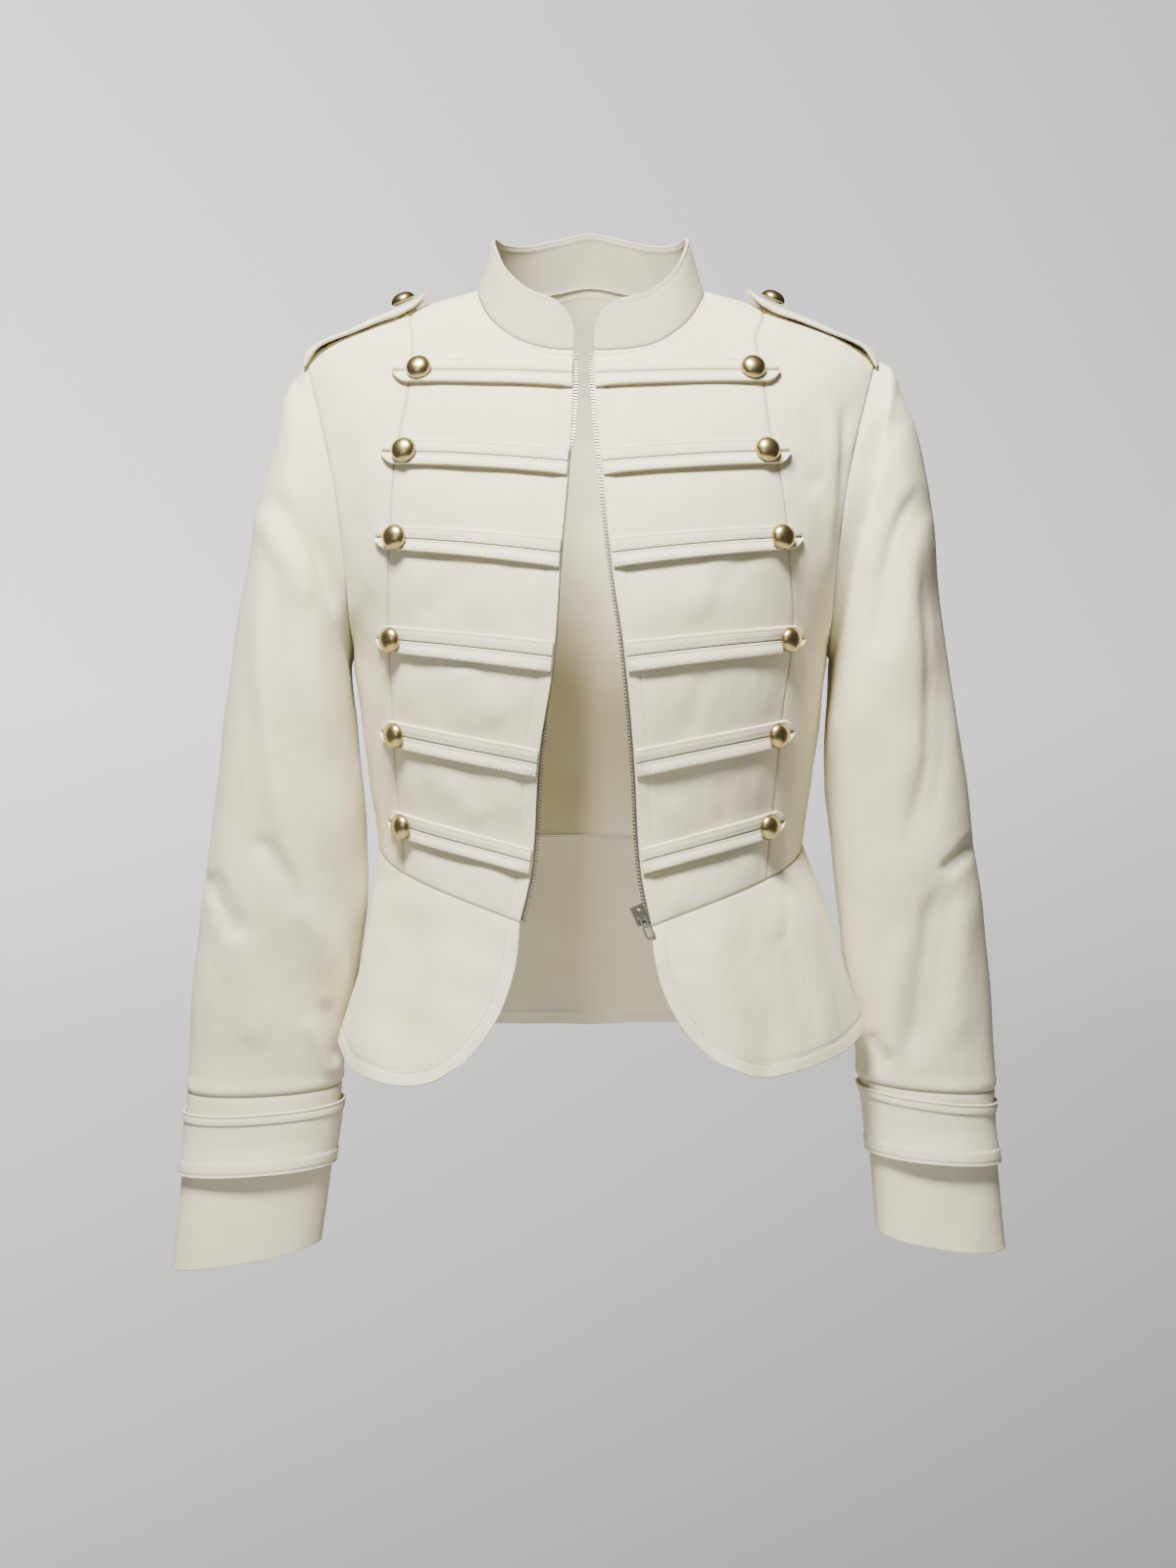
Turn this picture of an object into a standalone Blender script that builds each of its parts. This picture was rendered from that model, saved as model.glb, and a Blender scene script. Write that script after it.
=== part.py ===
"""Cropped band jacket with a stand collar, six tabs a side, a waist seam and a short flared peplum.

It is filled out as worn, open in front, with the arms hanging. Metres, +Z up, +X the wearer's left,
-Y the front. The origin is midway between the two neck ends of the shoulder seams, where the jacket
hangs on whoever wears it.
"""
import math

import bmesh
import bpy
from mathutils import Matrix, Vector

# Cloth and gaps
PANEL_CLOTH = 0.0018
COLLAR_CLOTH = 0.0022
SLEEVE_CLOTH = 0.0016
BAND_CLOTH = 0.0016
TAB_CLOTH = 0.0022
STRAP_CLOTH = 0.0024
TAPE_CLOTH = 0.0010
WELD = 0.00001
SEAM_GAP = 0.0003
LAID_GAP = 0.0004

# The general figure that fills the body: half widths and depths of its level sections
SQUARENESS = 2.25
FIGURE = (
    # z, half width, front depth, back depth
    (-0.540, 0.1800, 0.1330, 0.1230),
    (-0.470, 0.1615, 0.1180, 0.1040),
    (-0.420, 0.1488, 0.1110, 0.0880),
    (-0.385, 0.1440, 0.1100, 0.0840),
    (-0.350, 0.1482, 0.1140, 0.0880),
    (-0.300, 0.1555, 0.1220, 0.0960),
    (-0.250, 0.1610, 0.1270, 0.1030),
    (-0.200, 0.1777, 0.1240, 0.1070),
    (-0.150, 0.1920, 0.1130, 0.1070),
    (-0.100, 0.2012, 0.0950, 0.1010),
    (-0.075, 0.2025, 0.0830, 0.0960),
    (-0.0478, 0.1940, 0.0680, 0.0880),
    (-0.036, 0.1710, 0.0610, 0.0830),
    (-0.021, 0.1400, 0.0475, 0.0770),
    (-0.0085, 0.1080, 0.0330, 0.0720),
    (0.000, 0.0767, 0.0200, 0.0690),
    (0.015, 0.0560, 0.0130, 0.0640),
    (0.035, 0.0360, 0.0090, 0.0540),
)

# Neck seam, in plan
NECK_HALF_WIDTH = 0.0767
NECK_FRONT = 0.0700
NECK_BACK = 0.0650
NECK_FRONT_SQUARENESS = 3.1
NECK_BACK_SQUARENESS = 2.3

# Armholes
SHOULDER_TIP_Z = -0.0478
ARMPIT_Z = -0.2500
FRONT_SCOOP = 0.0085
ARMHOLE_TURNS = (0, 16, 31, 46, 61, 78, 91, 110, 124, 150, 180)

# Waist seam: it dips to the front
WAIST_FRONT_Z = -0.4280
WAIST_FRONT_ANGLE = 22.0
WAIST_SIDE_Z = -0.3760
WAIST_BACK_Z = -0.3740

# Front edges of the open front
FRONT_EDGE = (
    # z, x on the wearer's right, x on the wearer's left
    (-0.430, -0.0466, 0.0402),
    (-0.388, -0.0378, 0.0322),
    (-0.323, -0.0336, 0.0284),
    (-0.256, -0.0237, 0.0222),
    (-0.190, -0.0191, 0.0130),
    (-0.130, -0.0142, 0.0073),
    (-0.068, -0.0113, 0.0024),
    (-0.050, -0.0113, 0.0023),
)

# Princess seams, as an angle round the figure from the centre front
FRONT_PRINCESS = (
    # z, angle on the wearer's right, angle on the wearer's left
    (-0.400, 62.5, 58.0),
    (-0.364, 63.0, 59.0),
    (-0.304, 60.5, 57.5),
    (-0.243, 58.5, 58.3),
    (-0.178, 55.3, 54.3),
    (-0.121, 56.5, 54.3),
    (-0.080, 59.0, 57.3),
    (-0.057, 62.5, 60.5),
    (-0.045, 65.0, 62.5),
    (-0.028, 73.0, 71.0),
    (-0.015, 84.0, 82.0),
)
BACK_PRINCESS = (
    # z, angle
    (-0.380, 116.0),
    (-0.310, 118.0),
    (-0.250, 121.0),
    (-0.180, 123.0),
    (-0.120, 122.0),
    (-0.080, 119.0),
    (-0.045, 113.0),
    (-0.028, 106.0),
    (-0.015, 96.0),
)
PRINCESS_TOP_X = 0.1170

# Rows of the bodice panels: every tab edge is a row
BODICE_ROWS = (
    # name, z at the front edge, z at the front princess seam, z at the back princess seam, tip reach
    ("top", None, None, None, 0.0080),
    ("yoke_upper", -0.0545, -0.0270, -0.0220, 0.0080),
    ("yoke_lower", -0.0570, -0.0420, -0.0380, 0.0080),
    ("tab_1_top", -0.0600, -0.0570, -0.0600, 0.0080),
    ("tab_1_foot", -0.0790, -0.0742, -0.0820, 0.0080),
    ("tab_2_top", -0.1210, -0.1124, -0.1080, 0.0080),
    ("tab_2_foot", -0.1390, -0.1296, -0.1320, 0.0080),
    ("tab_3_top", -0.1805, -0.1695, -0.1650, 0.0090),
    ("tab_3_foot", -0.1995, -0.1852, -0.1930, 0.0090),
    ("tab_4_top", -0.2467, -0.2340, -0.2240, 0.0095),
    ("tab_4_foot", -0.2663, -0.2510, -0.2480, 0.0095),
    ("tab_5_top", -0.3157, -0.2958, -0.2750, 0.0100),
    ("tab_5_foot", -0.3333, -0.3125, -0.3000, 0.0100),
    ("tab_6_top", -0.3797, -0.3552, -0.3260, 0.0100),
    ("tab_6_foot", -0.3962, -0.3720, -0.3500, 0.0100),
    ("waist", None, None, None, 0.0095),
)
YOKE_ROWS = (1, 2)
ARMPIT_ROW = 10
WAIST_ROW = 15
TAB_ROWS = (3, 5, 7, 9, 11, 13)
TAB_START_SHARE = 0.12
FRONT_STEPS = (0.0, 0.10, 0.29, 0.48, 0.66, 0.84, 1.0)
NECK_STEPS = (0.0, 0.10, 0.29, 0.50, 0.74, 1.0)
BACK_NECK_STEPS = (0.0, 0.22, 0.46, 0.72, 1.0)
SIDE_FRONT_STEPS = (0.0, 0.36, 0.68, 1.0)
SIDE_BACK_STEPS = (0.0, 0.34, 0.67, 1.0)
BACK_STEPS = (0.0, 0.2, 0.4, 0.6, 0.8, 1.0)

# Peplum
HEM_RADIUS = (
    # angle, radius on the wearer's right, radius on the wearer's left
    (0, 0.1320, 0.1320),
    (30, 0.1395, 0.1395),
    (45, 0.1550, 0.1550),
    (60, 0.1660, 0.1680),
    (71, 0.1715, 0.1815),
    (79, 0.1722, 0.1880),
    (90, 0.1520, 0.1660),
    (103, 0.1470, 0.1550),
    (122, 0.1490, 0.1530),
    (143, 0.1370, 0.1380),
    (162, 0.1300, 0.1300),
    (180, 0.1230, 0.1230),
)
HEM_HEIGHT = (
    # angle, z on the wearer's right, z on the wearer's left
    (0, -0.5300, -0.5265),
    (38, -0.5330, -0.5275),
    (54, -0.5325, -0.5250),
    (64, -0.5285, -0.5190),
    (72, -0.5205, -0.5110),
    (79, -0.5090, -0.5005),
    (90, -0.5020, -0.4980),
    (110, -0.5080, -0.5060),
    (180, -0.5120, -0.5120),
)
CUTAWAY_WIDTH = 0.0755
CUTAWAY_CORNER = 58
FLARE_POWER_RIGHT = 1.3
FLARE_POWER_LEFT = 0.8
PEPLUM_STEPS = 5

# Stand collar
COLLAR_SIDE_HEIGHT = 0.0350
COLLAR_BACK_HEIGHT = 0.0370
COLLAR_LEAN = 0.135
COLLAR_CORNER_WIDTH = 0.0240
COLLAR_CORNER_HEIGHT = 0.0260
COLLAR_CORNER_SHARES = (0.0, 0.25, 0.6)
COLLAR_STEPS = (0.0, 0.35, 0.7, 1.0)
NECK_COLUMNS = 6

# Sleeves: rings that fan from the armhole to level
SLEEVE_SQUARENESS = 2.2
RING_TURNS = ARMHOLE_TURNS + tuple(360 - turn for turn in ARMHOLE_TURNS[-2:0:-1])
SLEEVE_FRONT_SEAM = 9
SLEEVE_BACK_SEAM = 12
SLEEVE_RIGHT = (
    # outer x, outer z, inner x, inner z, middle y, front depth, back depth, front drop
    (0.2035, -0.062, 0.1630, -0.2580, -0.001, 0.0560, 0.0530, 0.0000),
    (0.2120, -0.090, 0.1625, -0.2680, -0.002, 0.0600, 0.0570, 0.0000),
    (0.2205, -0.125, 0.1615, -0.2800, -0.003, 0.0630, 0.0610, 0.0000),
    (0.2290, -0.165, 0.1597, -0.2950, -0.004, 0.0645, 0.0630, 0.0000),
    (0.2365, -0.210, 0.1580, -0.3120, -0.005, 0.0640, 0.0630, 0.0000),
    (0.2450, -0.265, 0.1550, -0.3370, -0.006, 0.0600, 0.0590, 0.0000),
    (0.2520, -0.325, 0.1520, -0.3720, -0.008, 0.0540, 0.0530, 0.0000),
    (0.2600, -0.385, 0.1515, -0.4120, -0.008, 0.0480, 0.0470, 0.0000),
    (0.2675, -0.445, 0.1565, -0.4570, -0.006, 0.0420, 0.0410, 0.0010),
    (0.2725, -0.4970, 0.1635, -0.4970, -0.003, 0.0370, 0.0370, 0.0030),
    (0.2755, -0.5454, 0.1695, -0.5400, 0.000, 0.0340, 0.0340, 0.0050),
)
SLEEVE_LEFT = (
    # outer x, outer z, inner x, inner z, middle y, front depth, back depth, front drop
    (0.2050, -0.0490, 0.1632, -0.2540, -0.001, 0.0550, 0.0520, 0.0000),
    (0.2095, -0.0650, 0.1630, -0.2600, -0.001, 0.0580, 0.0550, 0.0000),
    (0.2187, -0.0900, 0.1627, -0.2690, -0.002, 0.0605, 0.0575, 0.0000),
    (0.2272, -0.1250, 0.1620, -0.2800, -0.003, 0.0630, 0.0610, 0.0000),
    (0.2335, -0.1650, 0.1605, -0.2950, -0.004, 0.0645, 0.0630, 0.0000),
    (0.2376, -0.2100, 0.1595, -0.3120, -0.005, 0.0640, 0.0630, 0.0000),
    (0.2452, -0.2650, 0.1600, -0.3380, -0.006, 0.0600, 0.0590, 0.0000),
    (0.2537, -0.3250, 0.1630, -0.3700, -0.008, 0.0540, 0.0530, 0.0000),
    (0.2615, -0.3850, 0.1670, -0.4120, -0.008, 0.0480, 0.0470, 0.0000),
    (0.2695, -0.4450, 0.1720, -0.4570, -0.006, 0.0420, 0.0410, 0.0010),
    (0.2740, -0.4970, 0.1772, -0.4960, -0.003, 0.0370, 0.0370, 0.0030),
    (0.2765, -0.5434, 0.1820, -0.5360, 0.000, 0.0340, 0.0340, 0.0050),
)
CUFF_RIGHT = (
    # outer x, outer z, inner x, inner z, middle y, front depth, back depth, front drop
    (0.2755, -0.5454, 0.1695, -0.5400, 0.000, 0.0340, 0.0340, 0.0050),
    (0.2757, -0.5595, 0.1705, -0.5515, 0.000, 0.0335, 0.0335, 0.0040),
    (0.2790, -0.6030, 0.1765, -0.5945, 0.001, 0.0320, 0.0320, 0.0020),
    (0.2863, -0.6670, 0.1840, -0.6490, 0.002, 0.0300, 0.0300, 0.0030),
)
CUFF_LEFT = (
    # outer x, outer z, inner x, inner z, middle y, front depth, back depth, front drop
    (0.2765, -0.5434, 0.1820, -0.5360, 0.000, 0.0340, 0.0340, 0.0050),
    (0.2753, -0.5530, 0.1838, -0.5400, 0.000, 0.0335, 0.0335, 0.0040),
    (0.2778, -0.5945, 0.1905, -0.5860, 0.001, 0.0330, 0.0330, 0.0025),
    (0.2842, -0.6520, 0.1950, -0.6395, 0.002, 0.0320, 0.0320, 0.0060),
)
CUFF_BAND_ROWS = (1, 2)
BAND_SEWN_LIFT = 0.0004
BAND_LOOSE_LIFT = 0.0016

# Shoulder straps
STRAP_FRONT_Y = -0.0270
STRAP_BACK_Y = 0.0140
STRAP_OUTER_X = 0.1915
STRAP_NECK_X_RIGHT = 0.1085
STRAP_NECK_X_LEFT = 0.1045
STRAP_STATIONS = (
    # share of the length from the armhole, lift off the shoulder, share of the full width
    (0.00, 0.0009, 0.92),
    (0.10, 0.0014, 0.94),
    (0.26, 0.0014, 0.97),
    (0.56, 0.0014, 1.0),
    (0.83, 0.0018, 1.0),
    (0.92, 0.0028, 0.75),
    (1.00, 0.0045, 0.20),
)
STRAP_LINES = (-1.0, -0.5, 0.0, 0.5, 1.0)
STRAP_BUTTON_STATION = 4
STRAP_BUTTON_BACK = 0.1
STRAP_BUTTON_RISE = 0.0002

# Dome buttons
BUTTON_RADIUS = 0.0085
BUTTON_DOME = 0.0058
BUTTON_SHANK_RADIUS = 0.0024
BUTTON_SHANK = 0.0014
BUTTON_BACK_PLATE = 0.0009
BUTTON_SETBACK = 0.0075
BUTTON_DOME_TURNS = (0, 24, 48, 70)
BUTTON_BACK_SHARE = 0.9
BUTTON_STEPS = 12

# Zip
TAPE_REACH = 0.0030
TAPE_HOLD = 0.85
SLIDER_OFFSET = 0.0061
SLIDER_DROP = 0.74
SLIDER_TILT = 13.0
SLIDER_HALF_WIDTH = 0.0042
SLIDER_HALF_WEB = 0.0006
SLIDER_LENGTH = 0.0130
SLIDER_PLATE = 0.0013
SLIDER_FLARE = 0.0001
BRIDGE_HALF_WIDTH = 0.0008
BRIDGE_LENGTH = 0.0080
BRIDGE_RISE = 0.0036
BRIDGE_WALL = 0.0009
BRIDGE_SINK = 0.0003
BRIDGE_SHOULDER = 0.70
BRIDGE_CROWN = 0.75
BRIDGE_INSIDE_SHOULDER = 0.62
BRIDGE_INSIDE_CORNER = 0.60
PULL_AXIS_DROP = 0.0022
PULL_AXIS_RISE = 0.0012
PULL_LEAN = 7.0
PULL_THICKNESS = 0.0010
PULL_BAR = 0.0011
PULL_LENGTH = 0.0150
PULL_NECK_HALF = 0.0023
PULL_HALF_WIDTH = 0.0032
PULL_NECK_FOOT = 0.0052
PULL_SHOULDER = 0.0064
PULL_CORNER = 0.0010
PULL_WINDOW_HALF = 0.0013
PULL_WINDOW_LENGTH = 0.0042
PULL_HOLE_TOP = 0.0070
PULL_HOLE_FOOT = 0.0130
PULL_HOLE_HALF = 0.0017

MATERIALS = {
    # name: base colour, roughness, metallic
    "twill": ((0.70, 0.67, 0.58), 0.85, 0.0),
    "twill_collar": ((0.68, 0.65, 0.56), 0.85, 0.0),
    "twill_trim": ((0.73, 0.70, 0.62), 0.85, 0.0),
    "zip_tape": ((0.66, 0.64, 0.57), 0.80, 0.0),
    "satin_brass": ((0.62, 0.50, 0.26), 0.32, 1.0),
    "zip_metal": ((0.60, 0.59, 0.56), 0.30, 1.0),
}


# ---------------------------------------------------------------- curves and the figure

def smooth_table(rows, column):
    """A function that runs monotone cubics through one column of a table sorted by its first column."""
    xs = [row[0] for row in rows]
    ys = [row[column] for row in rows]
    steps = [(ys[i + 1] - ys[i]) / (xs[i + 1] - xs[i]) for i in range(len(xs) - 1)]
    slopes = [steps[0]]
    for before, after in zip(steps, steps[1:]):
        slopes.append(0.0 if before * after <= 0 else 2 * before * after / (before + after))
    slopes.append(steps[-1])

    def value(at):
        at = min(max(at, xs[0]), xs[-1])
        i = 0
        while i < len(xs) - 2 and at > xs[i + 1]:
            i += 1
        span = xs[i + 1] - xs[i]
        t = (at - xs[i]) / span
        rise = (2 * t ** 3 - 3 * t ** 2 + 1) * ys[i] + (3 * t ** 2 - 2 * t ** 3) * ys[i + 1]
        run = (t ** 3 - 2 * t ** 2 + t) * slopes[i] + (t ** 3 - t ** 2) * slopes[i + 1]
        return rise + run * span

    return value


half_width = smooth_table(FIGURE, 1)
front_depth = smooth_table(FIGURE, 2)
back_depth = smooth_table(FIGURE, 3)
back_princess = smooth_table(BACK_PRINCESS, 1)
hem_right = smooth_table(HEM_RADIUS, 1)
hem_left = smooth_table(HEM_RADIUS, 2)
hem_height_right = smooth_table(HEM_HEIGHT, 1)
hem_height_left = smooth_table(HEM_HEIGHT, 2)


def power(value, exponent):
    return math.copysign(abs(value) ** exponent, value)


def on_figure(angle, z):
    """Point of the figure at an angle in degrees from the centre front, on the +X side."""
    s = math.sin(math.radians(angle))
    c = math.cos(math.radians(angle))
    depth = front_depth(z) if c > 0 else back_depth(z)
    total = (abs(s) / half_width(z)) ** SQUARENESS + (abs(c) / depth) ** SQUARENESS
    radius = total ** (-1 / SQUARENESS)
    return Vector((radius * s, -radius * c, z))


def figure_value(p):
    depth = front_depth(p.z) if p.y < 0 else back_depth(p.z)
    return (abs(p.x) / half_width(p.z)) ** SQUARENESS + (abs(p.y) / depth) ** SQUARENESS - 1


def figure_slope(p):
    h = 0.0002
    slope = Vector((0, 0, 0))
    for axis in range(3):
        step = Vector((0, 0, 0))
        step[axis] = h
        slope[axis] = (figure_value(p + step) - figure_value(p - step)) / (2 * h)
    return slope


def figure_normal(p):
    return figure_slope(p).normalized()


def settle(p):
    """Move a point near the figure onto it."""
    p = p.copy()
    for _ in range(10):
        slope = figure_slope(p)
        p -= slope * (figure_value(p) / slope.length_squared)
    return p


def height_on_figure(x, y):
    """Height of the figure's shoulder over a point in plan."""
    low, high = -0.12, 0.034
    for _ in range(40):
        middle = (low + high) / 2
        if figure_value(Vector((x, y, middle))) > 0:
            high = middle
        else:
            low = middle
    return (low + high) / 2


def along(points, fractions):
    """Points at the given fractions of a polyline's length."""
    lengths = [0.0]
    for a, b in zip(points, points[1:]):
        lengths.append(lengths[-1] + (b - a).length)
    found = []
    for fraction in fractions:
        target = fraction * lengths[-1]
        i = 0
        while i < len(points) - 2 and lengths[i + 1] < target:
            i += 1
        t = (target - lengths[i]) / (lengths[i + 1] - lengths[i])
        found.append(points[i].lerp(points[i + 1], t))
    return found


def mirrored(points, side):
    return [Vector((side * p.x, p.y, p.z)) for p in points]


# ---------------------------------------------------------------- seam lines, on the +X side

def neck_point_at(x, back):
    """Point of the neck seam at a distance off the centre line."""
    depth = NECK_BACK if back else -NECK_FRONT
    squareness = NECK_BACK_SQUARENESS if back else NECK_FRONT_SQUARENESS
    share = max(0.0, 1 - abs(x / NECK_HALF_WIDTH) ** squareness)
    y = depth * share ** (1 / squareness)
    return Vector((x, y, height_on_figure(x, y)))


def neck_line(start_x, back, steps):
    """Points of the neck seam from a distance off the centre line to the shoulder."""
    fine = []
    for i in range(161):
        share = math.sin(math.radians(90 * i / 160))
        fine.append(neck_point_at(start_x + (NECK_HALF_WIDTH - start_x) * share, back))
    return along(fine, steps)


TIP_X = half_width(SHOULDER_TIP_Z)
ARMPIT_X = half_width(ARMPIT_Z)
ARMHOLE_AXIS = Vector((SHOULDER_TIP_Z - ARMPIT_Z, 0, ARMPIT_X - TIP_X)).normalized()


def armhole_point(turn, back):
    """Armhole seam: turn 0 is the shoulder tip and 180 the armpit."""
    t = (1 - math.cos(math.radians(turn))) / 2
    x = TIP_X + (ARMPIT_X - TIP_X) * t
    z = SHOULDER_TIP_Z + (ARMPIT_Z - SHOULDER_TIP_Z) * t
    if not back:
        x -= FRONT_SCOOP * math.sin(math.pi * t)
    depth = back_depth(z) if back else -front_depth(z)
    share = max(0.0, 1 - (x / half_width(z)) ** SQUARENESS)
    return Vector((x, depth * share ** (1 / SQUARENESS), z))


def waist_z(angle):
    if angle <= 90:
        t = (angle - WAIST_FRONT_ANGLE) / (90 - WAIST_FRONT_ANGLE)
        return WAIST_FRONT_Z + (WAIST_SIDE_Z - WAIST_FRONT_Z) * t
    return WAIST_SIDE_Z + (WAIST_BACK_Z - WAIST_SIDE_Z) * (angle - 90) / 90


def waist_point(angle):
    return on_figure(angle, waist_z(angle))


def front_princess_point(row, side):
    if row == 0:
        return Vector((PRINCESS_TOP_X, 0, height_on_figure(PRINCESS_TOP_X, 0)))
    angle_at = smooth_table(FRONT_PRINCESS, 2 if side > 0 else 1)
    if row == WAIST_ROW:
        return waist_point(angle_at(FRONT_PRINCESS[0][0]))
    z = BODICE_ROWS[row][2]
    return on_figure(angle_at(z), z)


def back_princess_point(row):
    if row == 0:
        return Vector((PRINCESS_TOP_X, 0, height_on_figure(PRINCESS_TOP_X, 0)))
    if row == WAIST_ROW:
        return waist_point(back_princess(BACK_PRINCESS[0][0]))
    z = BODICE_ROWS[row][3]
    return on_figure(back_princess(z), z)


def front_edge_point(row, side):
    """Point of the open front edge, on the +X side's axes before mirroring."""
    x_at = smooth_table(FRONT_EDGE, 2 if side > 0 else 1)
    if row == 0:
        x = side * x_at(-0.052)
        return neck_point_at(x, False)
    z = BODICE_ROWS[row][1] if row < WAIST_ROW else WAIST_FRONT_Z
    x = side * x_at(z)
    share = 1 - (abs(x) / half_width(z)) ** SQUARENESS
    return Vector((x, -front_depth(z) * share ** (1 / SQUARENESS), z))


def outer_edge_point(row, back):
    """Armhole seam down to the armpit, then the side seam to the waist."""
    if row <= ARMPIT_ROW:
        return armhole_point(ARMHOLE_TURNS[row], back)
    t = (row - ARMPIT_ROW) / (WAIST_ROW - ARMPIT_ROW)
    return on_figure(90, ARMPIT_Z + (WAIST_SIDE_Z - ARMPIT_Z) * t)


def plan_angle(p):
    return math.degrees(math.atan2(p.x, -p.y))


def between(start, end, steps):
    return [start + (end - start) * step for step in steps]


def front_waist_angles(side):
    """Angles of the waist seam's points from the front edge to the side seam."""
    start = plan_angle(front_edge_point(WAIST_ROW, side))
    seam = plan_angle(front_princess_point(WAIST_ROW, side))
    near = seam + math.degrees(BODICE_ROWS[WAIST_ROW][4] / waist_point(seam).xy.length)
    return between(start, seam, FRONT_STEPS) + between(near, 90, SIDE_FRONT_STEPS)


def back_waist_angles():
    """Angles of the waist seam's points from the side seam to the centre back."""
    seam = plan_angle(back_princess_point(WAIST_ROW))
    return between(90, seam, SIDE_BACK_STEPS) + between(180, seam, BACK_STEPS)[-2::-1]


# ---------------------------------------------------------------- grids of outer points

def settled_row(start, end, steps):
    row = [settle(start.lerp(end, step)) for step in steps]
    row[0] = start
    row[-1] = end
    return row


def front_grid(side):
    """A front: rows go down, columns go from the front edge to the princess seam."""
    edge = [front_edge_point(row, side) for row in range(WAIST_ROW + 1)]
    seam = [front_princess_point(row, side) for row in range(WAIST_ROW + 1)]
    top = neck_line(edge[0].x, False, NECK_STEPS) + [seam[0]]
    lines = [top]
    for row in range(1, WAIST_ROW):
        angles = between(plan_angle(edge[row]), plan_angle(seam[row]), FRONT_STEPS)
        heights = between(edge[row].z, seam[row].z, FRONT_STEPS)
        lines.append([edge[row]] + [on_figure(a, z) for a, z in zip(angles[1:], heights[1:])])
    for row in YOKE_ROWS:
        share = row / (len(YOKE_ROWS) + 1)
        inner = [settle(a.lerp(b, share)) for a, b in zip(top[1:-1], lines[TAB_ROWS[0]][1:-1])]
        lines[row] = [edge[row]] + inner + [seam[row]]
    lines.append([waist_point(angle) for angle in front_waist_angles(side)[:len(FRONT_STEPS)]])
    return [mirrored(line, side) for line in lines]


def side_front_grid(side):
    """A side front: columns go from the princess seam past the tab tips to the armhole."""
    lines = []
    for row in range(WAIST_ROW):
        start = front_princess_point(row, side)
        end = outer_edge_point(row, False)
        reach = BODICE_ROWS[row][4]
        near = settle(start + (end - start).normalized() * reach)
        if row >= TAB_ROWS[0]:
            edge = front_edge_point(row, side)
            turn = math.degrees(reach / start.xy.length)
            fall = (start.z - edge.z) / (plan_angle(start) - plan_angle(edge))
            near = on_figure(plan_angle(start) + turn, start.z + fall * turn)
        if row == 0:
            near = Vector((near.x, 0, height_on_figure(near.x, 0)))
        lines.append([start] + settled_row(near, end, SIDE_FRONT_STEPS))
    angles = front_waist_angles(side)[len(FRONT_STEPS) - 1:]
    lines.append([waist_point(angle) for angle in angles])
    return [mirrored(line, side) for line in lines]


def side_back_grid(side):
    """A side back: columns go from the back princess seam to the armhole and side seam."""
    lines = []
    for row in range(WAIST_ROW):
        start = back_princess_point(row)
        lines.append(settled_row(start, outer_edge_point(row, True), SIDE_BACK_STEPS))
    angles = back_waist_angles()[:len(SIDE_BACK_STEPS)]
    lines.append([waist_point(angle) for angle in angles[::-1]])
    return [mirrored(line, side) for line in lines]


def back_grid():
    """The back: columns go from the wearer's right princess seam to the left one."""
    halves = []
    top = neck_line(0.0, True, BACK_NECK_STEPS) + [back_princess_point(0)]
    for row in range(WAIST_ROW):
        seam = back_princess_point(row)
        halves.append([on_figure(a, seam.z) for a in between(180, plan_angle(seam), BACK_STEPS)])
    halves[0] = top
    for row in YOKE_ROWS:
        share = row / (len(YOKE_ROWS) + 1)
        inner = [settle(a.lerp(b, share)) for a, b in zip(top[:-1], halves[TAB_ROWS[0]][:-1])]
        halves[row] = inner + [back_princess_point(row)]
    halves.append([waist_point(a) for a in back_waist_angles()[:-len(BACK_STEPS) - 1:-1]])
    return [mirrored(half[:0:-1], -1) + [Vector((0, half[0].y, half[0].z))] + half[1:] for half in halves]


def hem_height(angle, side):
    return hem_height_left(angle) if side > 0 else hem_height_right(angle)


def peplum_point(angle, z, side):
    """Point of the peplum, which flares from the waist seam to the hem, a little curved at the sides."""
    top = waist_point(angle)
    share = (top.z - z) / (top.z - hem_height(angle, side))
    hem = (hem_left if side > 0 else hem_right)(angle)
    even = min(1, max(0, (angle - 90) / 60))
    curve = (FLARE_POWER_LEFT if side > 0 else FLARE_POWER_RIGHT) * (1 - even) + even
    radius = top.xy.length + (hem - top.xy.length) * power(share, curve)
    turn = math.radians(angle)
    return Vector((radius * math.sin(turn), -radius * math.cos(turn), z))


def cutaway_angle(x, z, side):
    low, high = 5.0, 75.0
    for _ in range(40):
        middle = (low + high) / 2
        if peplum_point(middle, z, side).x < x:
            low = middle
        else:
            high = middle
    return (low + high) / 2


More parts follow.
